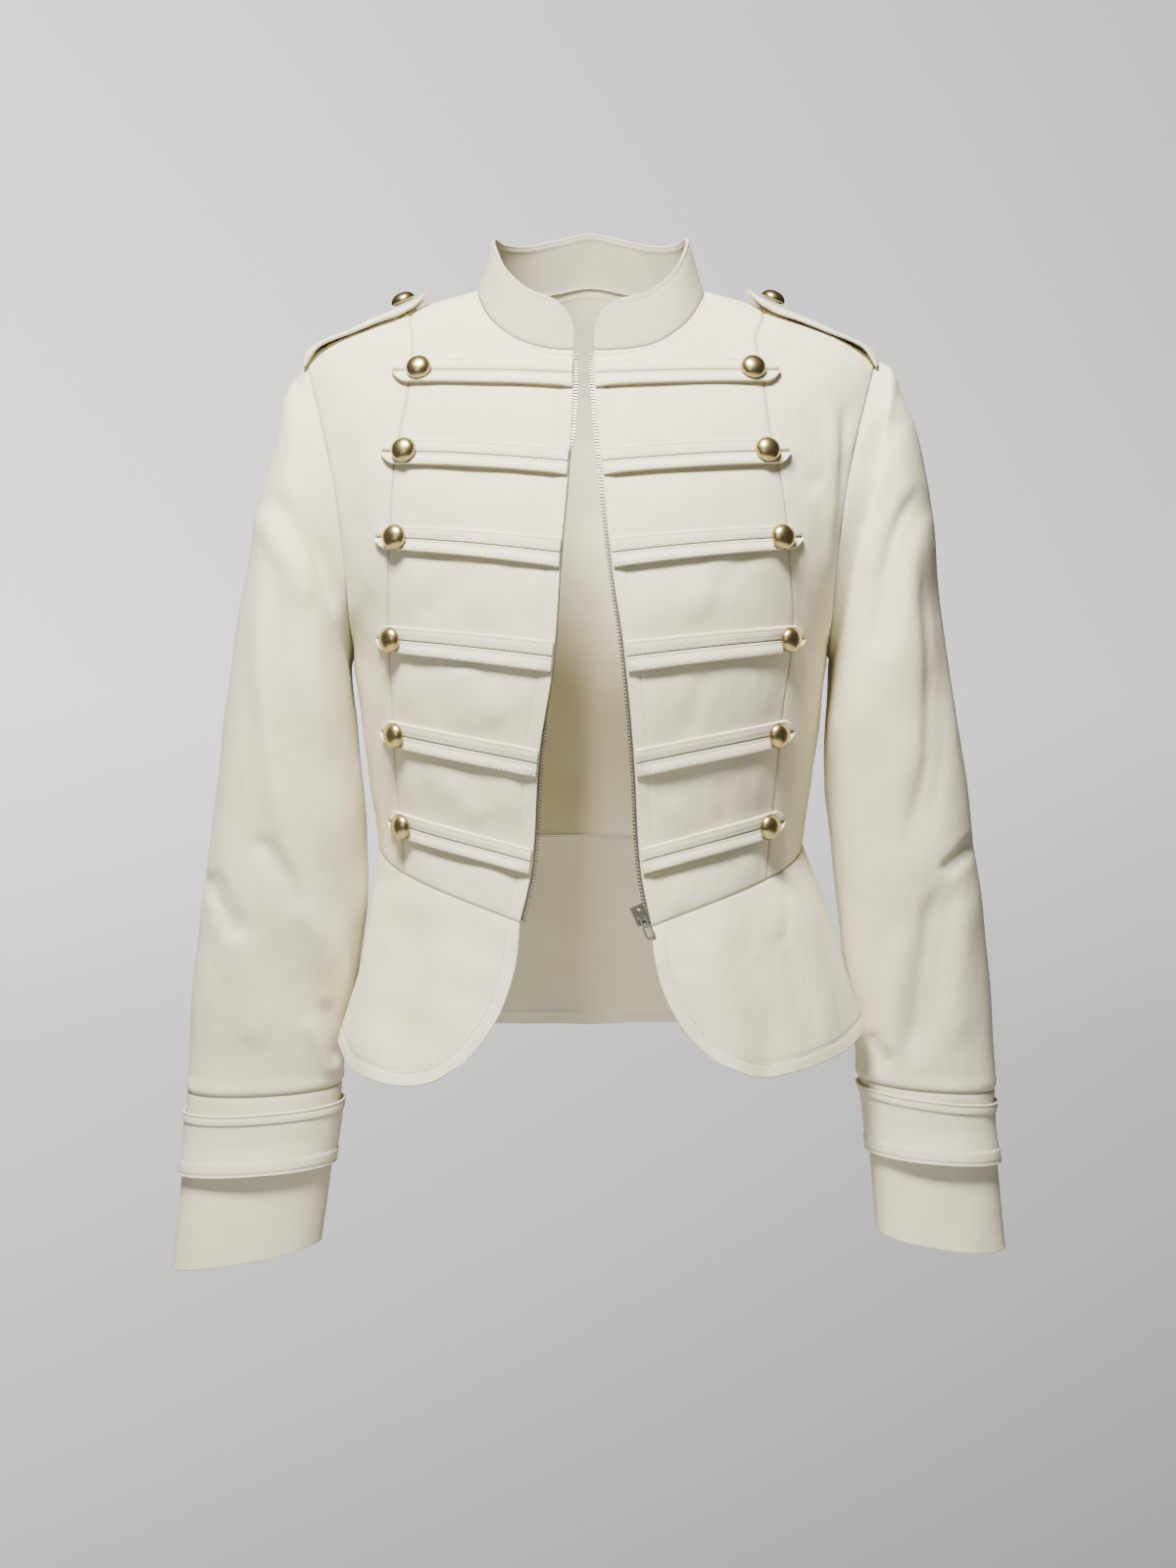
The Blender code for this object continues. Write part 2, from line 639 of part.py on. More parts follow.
def peplum_front_grid(side):
    """A peplum front: its left edge is most of the rounded cutaway, which its foot carries on."""
    angles = front_waist_angles(side)
    start = waist_point(angles[0])
    foot_x = start.x + CUTAWAY_WIDTH
    foot_z = hem_height(math.degrees(math.atan2(foot_x, -start.y)), side)

    def cutaway(turn):
        x = start.x + CUTAWAY_WIDTH * (1 - math.cos(math.radians(turn)))
        z = start.z + (foot_z - start.z) * math.sin(math.radians(turn))
        return Vector((cutaway_angle(x, z, side), z))

    rows = PEPLUM_STEPS
    columns = len(angles) - 1
    left = [cutaway(CUTAWAY_CORNER * i / rows) for i in range(rows + 1)]
    foot = [cutaway(turn) for turn in (CUTAWAY_CORNER, (CUTAWAY_CORNER + 90) / 2, 90)]
    rest = columns - len(foot) + 1
    for i in range(1, rest + 1):
        angle = foot[2][0] + (90 - foot[2][0]) * i / rest
        foot.append(Vector((angle, hem_height(angle, side))))
    top = [Vector((angle, waist_z(angle))) for angle in angles]
    lines = []
    for i in range(rows + 1):
        v = i / rows
        right = top[-1].lerp(foot[-1], v)
        line = []
        for j in range(columns + 1):
            u = j / columns
            across = left[i].lerp(right, u)
            down = top[j].lerp(foot[j], v)
            corners = top[0].lerp(top[-1], u).lerp(foot[0].lerp(foot[-1], u), v)
            spot = across + down - corners
            line.append(peplum_point(spot[0], spot[1], side))
        lines.append(line)
    return [mirrored(line, side) for line in lines]


def peplum_back_grid():
    """The peplum's back, from the wearer's right side seam round to the left one."""
    lines = []
    angles = back_waist_angles()
    for i in range(PEPLUM_STEPS + 1):
        halves = []
        for side in (-1, 1):
            half = []
            for angle in angles:
                z = waist_z(angle) + (hem_height(angle, side) - waist_z(angle)) * i / PEPLUM_STEPS
                half.append(peplum_point(angle, z, side))
            halves.append(mirrored(half, side))
        middle = halves[0][-1]
        middle.x = 0.0
        lines.append(halves[0] + halves[1][-2::-1])
    return lines


def ring(row):
    """One ring of a sleeve or cuff, starting at its outer edge and passing the front."""
    outer_x, outer_z, inner_x, inner_z, middle_y, front, back, drop = row
    outer = Vector((outer_x, middle_y, outer_z))
    inner = Vector((inner_x, middle_y, inner_z))
    points = []
    for turn in RING_TURNS:
        c = power(math.cos(math.radians(turn)), 2 / SLEEVE_SQUARENESS)
        s = power(math.sin(math.radians(turn)), 2 / SLEEVE_SQUARENESS)
        depth = front if s > 0 else back
        across = (outer + inner) / 2 + (outer - inner) / 2 * c
        points.append(across + Vector((0, -depth * s, -drop * s)))
    return points


def sleeve_grid(side):
    table = SLEEVE_LEFT if side > 0 else SLEEVE_RIGHT
    first = [armhole_point(turn if turn <= 180 else 360 - turn, turn > 180) for turn in RING_TURNS]
    return [mirrored(line, side) for line in [first] + [ring(row) for row in table]]


def cuff_grid(side):
    table = CUFF_LEFT if side > 0 else CUFF_RIGHT
    return [mirrored(ring(row), side) for row in table]


def collar_base(front_right, back, front_left):
    """The neck seam from the right front edge round to the left, with points added at the corners."""
    right = front_right[0][:NECK_COLUMNS]
    left = front_left[0][:NECK_COLUMNS][::-1]
    line = right + back[0][2:-2] + left
    starts = [line[0].lerp(line[1], share) for share in COLLAR_CORNER_SHARES]
    starts += [line[1], (line[1] + line[2]) / 2]
    ends = [line[-1].lerp(line[-2], share) for share in COLLAR_CORNER_SHARES]
    ends += [line[-2], (line[-2] + line[-3]) / 2]
    return starts + line[2:-2] + ends[::-1]


def collar_grid(base):
    """The stand collar: columns lean in, and the front corners are rounded off."""
    lengths = [0.0]
    for a, b in zip(base, base[1:]):
        lengths.append(lengths[-1] + (b - a).length)
    lines = []
    for drop in COLLAR_STEPS:
        line = []
        for p, length in zip(base, lengths):
            back_share = max(0.0, p.y / NECK_BACK)
            full = COLLAR_SIDE_HEIGHT + (COLLAR_BACK_HEIGHT - COLLAR_SIDE_HEIGHT) * back_share
            inset = min(length, lengths[-1] - length)
            height = full
            if inset < COLLAR_CORNER_WIDTH:
                reach = 1 - inset / COLLAR_CORNER_WIDTH
                height = full - COLLAR_CORNER_HEIGHT * (1 - math.sqrt(1 - reach ** 2))
            rise = height * drop
            lean = 1 - COLLAR_LEAN * rise / full
            line.append(Vector((p.x * lean, p.y * lean, p.z + rise)))
        lines.append(line)
    return lines


# ---------------------------------------------------------------- walls of cloth

def grid_normals(grid, closed=False):
    """Unit normals of a grid of points, pointing away from its ring's centre or the body's axis."""
    normals = []
    for r, line in enumerate(grid):
        above = grid[max(r - 1, 0)]
        below = grid[min(r + 1, len(grid) - 1)]
        hub = sum(line, Vector()) / len(line) if closed else Vector((0, 0, 0))
        row = []
        for c in range(len(line)):
            before = c - 1 if closed else max(c - 1, 0)
            after = (c + 1) % len(line) if closed else min(c + 1, len(line) - 1)
            normal = (line[after] - line[before]).cross(below[c] - above[c]).normalized()
            away = line[c] - hub
            away.z = 0
            row.append(normal if normal.dot(away) > 0 else -normal)
        normals.append(row)
    return normals


def figure_normals(grid):
    return [[figure_normal(p) for p in line] for line in grid]


def mitre(first, second, cloth):
    """Inward offset shared by two sheets that meet along a seam, or None where they fold back."""
    middle = first + second
    if middle.length < 1.1:
        return None
    middle.normalize()
    return -middle * cloth / middle.dot(first)


def seam_pull(edge, inside, normals):
    """Offsets that draw an edge back from its seam by half the gap, within the cloth."""
    pulls = []
    for i, p in enumerate(edge):
        run = edge[min(i + 1, len(edge) - 1)] - edge[max(i - 1, 0)]
        way = run.cross(normals[i]).normalized()
        if way.dot(inside[i] - p) < 0:
            way = -way
        pulls.append(way * SEAM_GAP / 2)
    return pulls


def transposed(grid):
    return [list(line) for line in zip(*grid)]


def drawn_back(grid, normals, top=False, foot=False, left=False, right=False):
    """A copy of the grid with the named edges drawn back from their seams."""
    moved = [[p.copy() for p in line] for line in grid]
    columns = transposed(grid)
    column_normals = transposed(normals)
    if top:
        for p, pull in zip(moved[0], seam_pull(grid[0], grid[1], normals[0])):
            p += pull
    if foot:
        for p, pull in zip(moved[-1], seam_pull(grid[-1], grid[-2], normals[-1])):
            p += pull
    if left:
        for line, pull in zip(moved, seam_pull(columns[0], columns[1], column_normals[0])):
            line[0] += pull
    if right:
        for line, pull in zip(moved, seam_pull(columns[-1], columns[-2], column_normals[-1])):
            line[-1] += pull
    return moved


def inward_from(normals, cloth):
    return [[-n * cloth for n in row] for row in normals]


def wall(name, grid, inward, material, closed=False):
    """A closed sheet of cloth: the grid is its outer face, and each point's offset reaches the inner."""
    bm = bmesh.new()
    offset = bm.verts.layers.float_vector.new("inward")
    rows = []
    for line, offsets in zip(grid, inward):
        rows.append([bm.verts.new(p) for p in line])
        for vert, vector in zip(rows[-1], offsets):
            vert[offset] = vector
    count = len(grid[0])
    for upper, lower in zip(rows, rows[1:]):
        for c in range(count if closed else count - 1):
            d = (c + 1) % count
            warp = upper[c].co + lower[d].co - upper[d].co - lower[c].co
            if warp.dot(upper[c][offset]) <= 0:
                bm.faces.new((upper[c], upper[d], lower[d]))
                bm.faces.new((upper[c], lower[d], lower[c]))
            else:
                bm.faces.new((upper[c], upper[d], lower[c]))
                bm.faces.new((upper[d], lower[d], lower[c]))
    bmesh.ops.remove_doubles(bm, verts=bm.verts[:], dist=WELD)
    grown = bmesh.ops.extrude_face_region(bm, geom=bm.faces[:])["geom"]
    for item in grown:
        if isinstance(item, bmesh.types.BMVert):
            item.co += item[offset]
    bmesh.ops.triangulate(bm, faces=bm.faces[:])
    bmesh.ops.recalc_face_normals(bm, faces=bm.faces[:])
    mesh = bpy.data.meshes.new(name)
    bm.to_mesh(mesh)
    bm.free()
    return add_object(name, mesh, material)


# ---------------------------------------------------------------- scene objects

def start_scene():
    for obj in list(bpy.data.objects):
        bpy.data.objects.remove(obj, do_unlink=True)
    for name in ("cropped_jacket", "cutters"):
        collection = bpy.data.collections.new(name)
        bpy.context.scene.collection.children.link(collection)
    anchor = bpy.data.objects.new("shoulders", None)
    anchor.empty_display_size = 0.05
    bpy.data.collections["cropped_jacket"].objects.link(anchor)
    return anchor


def make_material(slot):
    colour, roughness, metallic = MATERIALS[slot]
    material = bpy.data.materials.get(slot) or bpy.data.materials.new(slot)
    material.use_nodes = True
    shader = material.node_tree.nodes["Principled BSDF"]
    shader.inputs["Base Color"].default_value = (*colour, 1.0)
    shader.inputs["Roughness"].default_value = roughness
    shader.inputs["Metallic"].default_value = metallic
    return material


def add_object(name, data, slot, matrix=None):
    obj = bpy.data.objects.new(name, data)
    bpy.data.collections["cropped_jacket"].objects.link(obj)
    obj.parent = bpy.data.objects["shoulders"]
    obj.location, obj.rotation_euler = (0, 0, 0), (0, 0, 0)
    if matrix is not None:
        obj.location = matrix.to_translation()
        obj.rotation_euler = matrix.to_euler()
    if not data.materials:
        data.materials.append(make_material(slot))
    return obj


def frame_matrix(origin, x_axis, z_axis):
    """Placement from an origin, a z axis and a rough x axis."""
    z = z_axis.normalized()
    y = z.cross(x_axis).normalized()
    x = y.cross(z)
    matrix = Matrix((x, y, z)).transposed().to_4x4()
    matrix.translation = origin
    return matrix


def side_name(side):
    return "left" if side > 0 else "right"


# ---------------------------------------------------------------- pieces

def build_bodice_side(side, collar_normals):
    """Front, side front and side back of one side. Returns the grids that other pieces lie on."""
    word = side_name(side)
    front, side_front, side_back = front_grid(side), side_front_grid(side), side_back_grid(side)

    normals = figure_normals(front)
    inward = inward_from(normals, PANEL_CLOTH)
    for c in range(NECK_COLUMNS):
        inward[0][c] = mitre(normals[0][c], collar_normals[c], PANEL_CLOTH)
    pulled = drawn_back(front, normals, top=True, foot=True, right=True)
    wall(f"front_{word}", pulled, inward, "twill")

    sleeve = sleeve_grid(side)
    sleeve_normals = grid_normals(sleeve, closed=True)
    gap = ARMHOLE_AXIS * SEAM_GAP / 2
    gap.x *= side
    for name, grid, back in (("side_front", side_front, False), ("side_back", side_back, True)):
        normals = figure_normals(grid)
        inward = inward_from(normals, PANEL_CLOTH)
        pulled = drawn_back(grid, normals, top=True, foot=True, left=True)
        edge = [line[-1] for line in grid]
        inner = [line[-2] for line in grid]
        seam_pulls = seam_pull(edge, inner, [row[-1] for row in normals])
        for row in range(ARMPIT_ROW + 1):
            pulled[row][-1] -= gap
            turn = row if not back else -row
            shared = mitre(normals[row][-1], sleeve_normals[0][turn], PANEL_CLOTH)
            if shared:
                inward[row][-1] = shared
        for row in range(ARMPIT_ROW, WAIST_ROW + 1):
            away = Vector((0, SEAM_GAP / 2 if back else -SEAM_GAP / 2, 0))
            pulled[row][-1] += away if row == ARMPIT_ROW else seam_pulls[row]
        wall(f"{name}_{word}", pulled, inward, "twill")
    return front, side_front


def build_back(collar_normals):
    grid = back_grid()
    normals = figure_normals(grid)
    inward = inward_from(normals, PANEL_CLOTH)
    for c, normal in enumerate(collar_normals, start=1):
        inward[0][c] = mitre(normals[0][c], normal, PANEL_CLOTH)
    pulled = drawn_back(grid, normals, top=True, foot=True, left=True, right=True)
    wall("back", pulled, inward, "twill")


def build_collar(base):
    grid = collar_grid(base)
    normals = grid_normals(grid)
    inward = inward_from(normals, COLLAR_CLOTH)
    for c, p in enumerate(base):
        inward[0][c] = mitre(figure_normal(p), normals[0][c], PANEL_CLOTH)
    pulled = drawn_back(grid, normals, top=True)
    wall("collar", pulled, inward, "twill_collar")


def build_peplum():
    """Peplum fronts and back, which share their inner faces' offsets along the side seams."""
    back = peplum_back_grid()
    back_normals = grid_normals(back)
    back_inward = inward_from(back_normals, PANEL_CLOTH)
    for side in (-1, 1):
        grid = peplum_front_grid(side)
        normals = grid_normals(grid)
        inward = inward_from(normals, PANEL_CLOTH)
        seam = -1 if side > 0 else 0
        for row in range(PEPLUM_STEPS + 1):
            shared = mitre(normals[row][-1], back_normals[row][seam], PANEL_CLOTH)
            inward[row][-1] = shared
            back_inward[row][seam] = shared
        inward[0] = [-figure_normal(p) * PANEL_CLOTH for p in grid[0]]
        pulled = drawn_back(grid, normals, top=True, right=True)
        wall(f"peplum_front_{side_name(side)}", pulled, inward, "twill")
    back_inward[0] = [-figure_normal(p) * PANEL_CLOTH for p in back[0]]
    pulled = drawn_back(back, back_normals, top=True, left=True, right=True)
    wall("peplum_back", pulled, back_inward, "twill")


def build_sleeve(side):
    word = side_name(side)
    sleeve = sleeve_grid(side)
    cuff = cuff_grid(side)
    sleeve_normals = grid_normals(sleeve, closed=True)
    cuff_normals = grid_normals(cuff, closed=True)
    inward = inward_from(sleeve_normals, SLEEVE_CLOTH)
    for i, turn in enumerate(RING_TURNS):
        shared = mitre(figure_normal(sleeve[0][i]), sleeve_normals[0][i], PANEL_CLOTH)
        if shared:
            inward[0][i] = shared
    join = [mitre(a, b, SLEEVE_CLOTH) for a, b in zip(sleeve_normals[-1], cuff_normals[0])]
    inward[-1] = join
    gap = ARMHOLE_AXIS * SEAM_GAP / 2
    gap.x *= side
    level_gap = Vector((0, 0, SEAM_GAP / 2))
    sleeve[0] = [p + gap for p in sleeve[0]]
    sleeve[-1] = [p + level_gap for p in sleeve[-1]]
    under = list(range(SLEEVE_FRONT_SEAM, SLEEVE_BACK_SEAM + 1))
    top = list(range(SLEEVE_BACK_SEAM, len(RING_TURNS))) + list(range(SLEEVE_FRONT_SEAM + 1))
    for name, columns in (("sleeve", top), ("under_sleeve", under)):
        panel, normals, offsets = ([[line[c] for c in columns] for line in grid]
                                   for grid in (sleeve, sleeve_normals, inward))
        wall(f"{name}_{word}", drawn_back(panel, normals, left=True, right=True), offsets, "twill")

    inward = inward_from(cuff_normals, SLEEVE_CLOTH)
    inward[0] = join
    band_rows = range(CUFF_BAND_ROWS[0], CUFF_BAND_ROWS[1] + 1)
    band, band_inward = [], []
    for row in band_rows:
        line = []
        for p, normal, turn in zip(cuff[row], cuff_normals[row], RING_TURNS):
            loose = abs(math.sin(math.radians(turn)))
            lift = BAND_SEWN_LIFT + (BAND_LOOSE_LIFT - BAND_SEWN_LIFT) * loose
            line.append(p + normal * (lift + BAND_CLOTH))
        band.append(line)
        band_inward.append([-normal * BAND_CLOTH for normal in cuff_normals[row]])
    cuff[0] = [p - level_gap for p in cuff[0]]
    wall(f"cuff_{word}", cuff, inward, "twill", closed=True)
    wall(f"cuff_band_{word}", band, band_inward, "twill_trim", closed=True)


def build_tabs(side, front, side_front, button_mesh):
    """Six bands that lie on the front, each ending in a point past the princess seam."""
    word = side_name(side)
    for number, row in enumerate(TAB_ROWS, start=1):
        lines = []
        for r in (row, row + 1):
            start = front[r][0].lerp(front[r][1], TAB_START_SHARE)
            tip = (side_front[row][1] + side_front[row + 1][1]) / 2
            lines.append([start] + front[r][1:] + [tip])
        normals = figure_normals(lines)
        outer = [[p + n * (LAID_GAP + TAB_CLOTH) for p, n in zip(line, row_normals)]
                 for line, row_normals in zip(lines, normals)]
        wall(f"tab_{word}_{number}", outer, inward_from(normals, TAB_CLOTH), "twill_trim")
        place_button(f"button_{word}_{number}", outer, len(FRONT_STEPS) - 2, button_mesh)


def place_button(name, grid, column, button_mesh):
    """Seat a button on the cell just before a column of a two row grid."""
    a, b = grid[0][column], grid[0][column + 1]
    c, d = grid[1][column], grid[1][column + 1]
    across = 1 - BUTTON_SETBACK / (b - a).length
    seat = ((a + c) / 2).lerp((b + d) / 2, across)
    normal = (d - a).cross(b - c).normalized()
    if normal.dot(figure_normal(seat)) < 0:
        normal = -normal
    rise = max(0.0, ((a + d) / 2 - seat).dot(normal), ((b + c) / 2 - seat).dot(normal))
    add_button(name, seat + normal * (rise + SEAM_GAP), normal, button_mesh)


def add_button(name, seat, normal, button_mesh):
    button = add_object(name, button_mesh, "satin_brass",
                        frame_matrix(seat, Vector((0, 0, 1)), normal))
    screw = button.modifiers.new("turned", "SCREW")
    screw.axis = "Z"
    screw.steps = BUTTON_STEPS
    screw.render_steps = BUTTON_STEPS
    screw.use_merge_vertices = True
    screw.merge_threshold = WELD
    screw.use_smooth_shade = True


def make_button_mesh():
    """Half section of a hollow-backed dome on a short shank, top first."""
    top = BUTTON_SHANK + BUTTON_BACK_PLATE + BUTTON_DOME
    rim = BUTTON_SHANK + BUTTON_BACK_PLATE
    profile = []
    for turn in BUTTON_DOME_TURNS:
        angle = math.radians(turn)
        profile.append((BUTTON_RADIUS * math.sin(angle), rim + (top - rim) * math.cos(angle)))
    profile += [(BUTTON_RADIUS, rim), (BUTTON_RADIUS * BUTTON_BACK_SHARE, BUTTON_SHANK)]
    profile += [(BUTTON_SHANK_RADIUS, BUTTON_SHANK), (BUTTON_SHANK_RADIUS, 0.0), (0.0, 0.0)]
    mesh = bpy.data.meshes.new("button_half_section")
    points = [(x, 0.0, z) for x, z in profile]
    edges = [(i, i + 1) for i in range(len(points) - 1)]
    mesh.from_pydata(points, edges, [])
    return mesh


def build_strap(side, button_mesh):
    """A shoulder strap laid over the shoulder seam, loose and lifting at its pointed neck end."""
    lines, normals = [], []
    neck_x = STRAP_NECK_X_LEFT if side > 0 else STRAP_NECK_X_RIGHT
    for along_share, lift, share in STRAP_STATIONS:
        x = STRAP_OUTER_X + (neck_x - STRAP_OUTER_X) * along_share
        middle = (STRAP_FRONT_Y + STRAP_BACK_Y) / 2
        half = (STRAP_BACK_Y - STRAP_FRONT_Y) / 2 * share
        line, row = [], []
        for step in STRAP_LINES:
            y = middle + half * step
            base = Vector((x, y, height_on_figure(x, y)))
            normal = figure_normal(base)
            line.append(base + normal * (lift + STRAP_CLOTH))
            row.append(normal)
        lines.append(line)
        normals.append([Vector((side * n.x, n.y, n.z)) for n in row])
    outer = [mirrored(line, side) for line in lines]
    word = side_name(side)
    wall(f"shoulder_strap_{word}", outer, inward_from(normals, STRAP_CLOTH), "twill_trim")
    near, far = outer[STRAP_BUTTON_STATION], outer[STRAP_BUTTON_STATION - 1]
    seat = near[2].lerp(far[2], STRAP_BUTTON_BACK)
    normal = (near[3] - near[1]).cross(far[2] - near[2]).normalized()
    if normal.z < 0:
        normal = -normal
    add_button(f"strap_button_{word}", seat + normal * (SEAM_GAP + STRAP_BUTTON_RISE), normal, button_mesh)


def build_tape(side, front):
    """Zip tape behind a front edge, its free edge just past the cloth."""
    lines, inward = [], []
    for line in front:
        normal = figure_normal(line[0])
        reach = (line[0] - line[1]).normalized() * TAPE_REACH
        back = -normal * (PANEL_CLOTH + SEAM_GAP)
        lines.append([line[0] + reach + back, line[0].lerp(line[1], TAPE_HOLD) + back])
        inward.append([-normal * TAPE_CLOTH] * 2)
    wall(f"zip_tape_{side_name(side)}", lines, inward, "zip_tape")


def flat_curve(name, outlines, half_thickness):
    curve = bpy.data.curves.new(name, "CURVE")
    curve.dimensions = "2D"
    curve.fill_mode = "BOTH"
    curve.extrude = half_thickness
    for outline in outlines:
        spline = curve.splines.new("POLY")
        spline.points.add(len(outline) - 1)
        for point, (x, y) in zip(spline.points, outline):
            point.co = (x, y, 0, 1)
        spline.use_cyclic_u = True
    return curve


def mesh_from_curve(name, curve, matrix):
    """Weld a flat curve's caps and turn it into a mesh with its place applied."""
    holder = bpy.data.objects.new(name, curve)
    bpy.context.scene.collection.objects.link(holder)
    bpy.context.view_layer.update()
    evaluated = holder.evaluated_get(bpy.context.evaluated_depsgraph_get())
    mesh = bpy.data.meshes.new_from_object(evaluated)
    bpy.data.objects.remove(holder, do_unlink=True)
    bm = bmesh.new()
    bm.from_mesh(mesh)
    bmesh.ops.remove_doubles(bm, verts=bm.verts[:], dist=WELD)
    bmesh.ops.dissolve_limit(bm, angle_limit=math.radians(1), verts=bm.verts[:], edges=bm.edges[:])
    bmesh.ops.recalc_face_normals(bm, faces=bm.faces[:])
    bm.transform(matrix)
    bm.to_mesh(mesh)
    bm.free()
    mesh.materials.clear()
    return mesh


def slider_matrix(front):
    """Where the slider sits: x to the wearer's left, z up the tape, y into the body."""
    foot, head = front[WAIST_ROW][0], front[WAIST_ROW - 1][0]
    edge = head.lerp(foot, SLIDER_DROP)
    normal = figure_normal(edge)
    up = head - foot
    y_axis = -normal
    x_axis = y_axis.cross(up).normalized()
    z_axis = x_axis.cross(y_axis)
    depth = PANEL_CLOTH + SEAM_GAP + TAPE_CLOTH / 2
    matrix = Matrix((x_axis, y_axis, z_axis)).transposed().to_4x4()
    matrix.translation = edge - x_axis * SLIDER_OFFSET + y_axis * depth
    return matrix @ Matrix.Rotation(math.radians(-SLIDER_TILT), 4, "Y")


def build_zip_slider(front):
    """Slider with two plates on a web, a bridge on its face, and the pull that hangs from it."""
    place = slider_matrix(front)
    near = TAPE_CLOTH / 2 + SEAM_GAP
    far = near + SLIDER_PLATE
    w, q = SLIDER_HALF_WIDTH, SLIDER_HALF_WEB
    rim = near + SLIDER_FLARE
    profile = [(-w, -far), (w, -far), (w, -rim), (q, -near), (q, near), (w, rim),
               (w, far), (-w, far), (-w, rim), (-q, near), (-q, -near), (-w, -rim)]
    body = mesh_from_curve("slider_profile", flat_curve("slider_profile", [profile], SLIDER_LENGTH / 2),
                           Matrix.Identity(4))
    slider = add_object("zip_slider", body, "zip_metal", place)

    half, wall_size, rise, sink = BRIDGE_LENGTH / 2, BRIDGE_WALL, BRIDGE_RISE, BRIDGE_SINK
    crown, shoulder = half * BRIDGE_CROWN, rise * BRIDGE_SHOULDER
    outside = [(-half, -sink), (half, -sink), (half, shoulder),
               (crown, rise), (-crown, rise), (-half, shoulder)]
    inner_half, inner_shoulder = half - wall_size, rise * BRIDGE_INSIDE_SHOULDER
    inner_crown = crown - wall_size * BRIDGE_INSIDE_CORNER
    inside = [(-inner_half, sink), (inner_half, sink), (inner_half, inner_shoulder),
              (inner_crown, rise - wall_size), (-inner_crown, rise - wall_size),
              (-inner_half, inner_shoulder)]
    turn = Matrix(((0, 0, 1, 0), (0, -1, 0, -far), (1, 0, 0, 0), (0, 0, 0, 1)))
    arch = mesh_from_curve("bridge", flat_curve("bridge", [outside, inside], BRIDGE_HALF_WIDTH), turn)
    cutter = bpy.data.objects.new("bridge", arch)
    bpy.data.collections["cutters"].objects.link(cutter)
    cutter.parent = slider
    cutter.hide_render = True
    cutter.display_type = "WIRE"
    join = slider.modifiers.new("bridge", "BOOLEAN")
    join.operation = "UNION"
    join.object = cutter

    bar, n, m = PULL_BAR / 2, PULL_NECK_HALF, PULL_HALF_WIDTH
    length = PULL_LENGTH
    corner = PULL_CORNER
    outline = [(-n, bar), (n, bar), (n, -PULL_NECK_FOOT), (m, -PULL_SHOULDER), (m, -length + corner),
               (m - corner, -length), (-m + corner, -length), (-m, -length + corner),
               (-m, -PULL_SHOULDER), (-n, -PULL_NECK_FOOT)]
    window = [(-PULL_WINDOW_HALF, -bar), (PULL_WINDOW_HALF, -bar),
              (PULL_WINDOW_HALF, -bar - PULL_WINDOW_LENGTH), (-PULL_WINDOW_HALF, -bar - PULL_WINDOW_LENGTH)]
    hole = [(-PULL_HOLE_HALF, -PULL_HOLE_TOP), (PULL_HOLE_HALF, -PULL_HOLE_TOP),
            (PULL_HOLE_HALF, -PULL_HOLE_FOOT), (-PULL_HOLE_HALF, -PULL_HOLE_FOOT)]
    upright = Matrix.Rotation(math.radians(90), 4, "X")
    pull = mesh_from_curve("zip_pull", flat_curve("zip_pull", [outline, window, hole], PULL_THICKNESS / 2),
                           upright)
    hinge = place @ Matrix.Translation((0, -far - PULL_AXIS_RISE, -PULL_AXIS_DROP))
    add_object("zip_pull", pull, "zip_metal", hinge @ Matrix.Rotation(math.radians(-PULL_LEAN), 4, "X"))


def build_jacket():
    start_scene()
    fronts = {side: front_grid(side) for side in (-1, 1)}
    base = collar_base(fronts[-1], back_grid(), fronts[1])
    normals = grid_normals(collar_grid(base))[0]
    seam = [normals[0], normals[3]] + normals[5:-5] + [normals[-4], normals[-1]]
    build_collar(base)
    build_back(seam[NECK_COLUMNS - 1:len(seam) - NECK_COLUMNS + 1])
    neck_normals = {-1: seam[:NECK_COLUMNS], 1: seam[::-1][:NECK_COLUMNS]}
    button_mesh = make_button_mesh()
    for side in (-1, 1):
        front, side_front = build_bodice_side(side, neck_normals[side])
        build_sleeve(side)
        build_tabs(side, front, side_front, button_mesh)
        build_strap(side, button_mesh)
        build_tape(side, front)
    build_peplum()
    build_zip_slider(fronts[1])


build_jacket()
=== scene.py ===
import math

import bpy
import numpy as np
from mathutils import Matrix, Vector


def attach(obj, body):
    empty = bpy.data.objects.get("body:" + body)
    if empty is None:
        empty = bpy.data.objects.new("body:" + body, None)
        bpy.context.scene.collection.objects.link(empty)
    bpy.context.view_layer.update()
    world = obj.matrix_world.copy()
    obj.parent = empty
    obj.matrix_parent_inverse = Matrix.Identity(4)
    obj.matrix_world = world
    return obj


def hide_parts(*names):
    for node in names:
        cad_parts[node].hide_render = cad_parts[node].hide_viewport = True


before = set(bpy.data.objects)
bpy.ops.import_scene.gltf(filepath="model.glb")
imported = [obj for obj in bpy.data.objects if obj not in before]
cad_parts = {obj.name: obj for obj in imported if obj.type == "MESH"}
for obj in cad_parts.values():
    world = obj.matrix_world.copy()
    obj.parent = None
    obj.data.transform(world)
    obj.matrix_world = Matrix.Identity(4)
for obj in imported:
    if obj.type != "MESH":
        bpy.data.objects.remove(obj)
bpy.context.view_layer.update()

# Metres, +Z up, +X the wearer's left, -Y the front. A side is +1 for the wearer's left, -1 for the right.

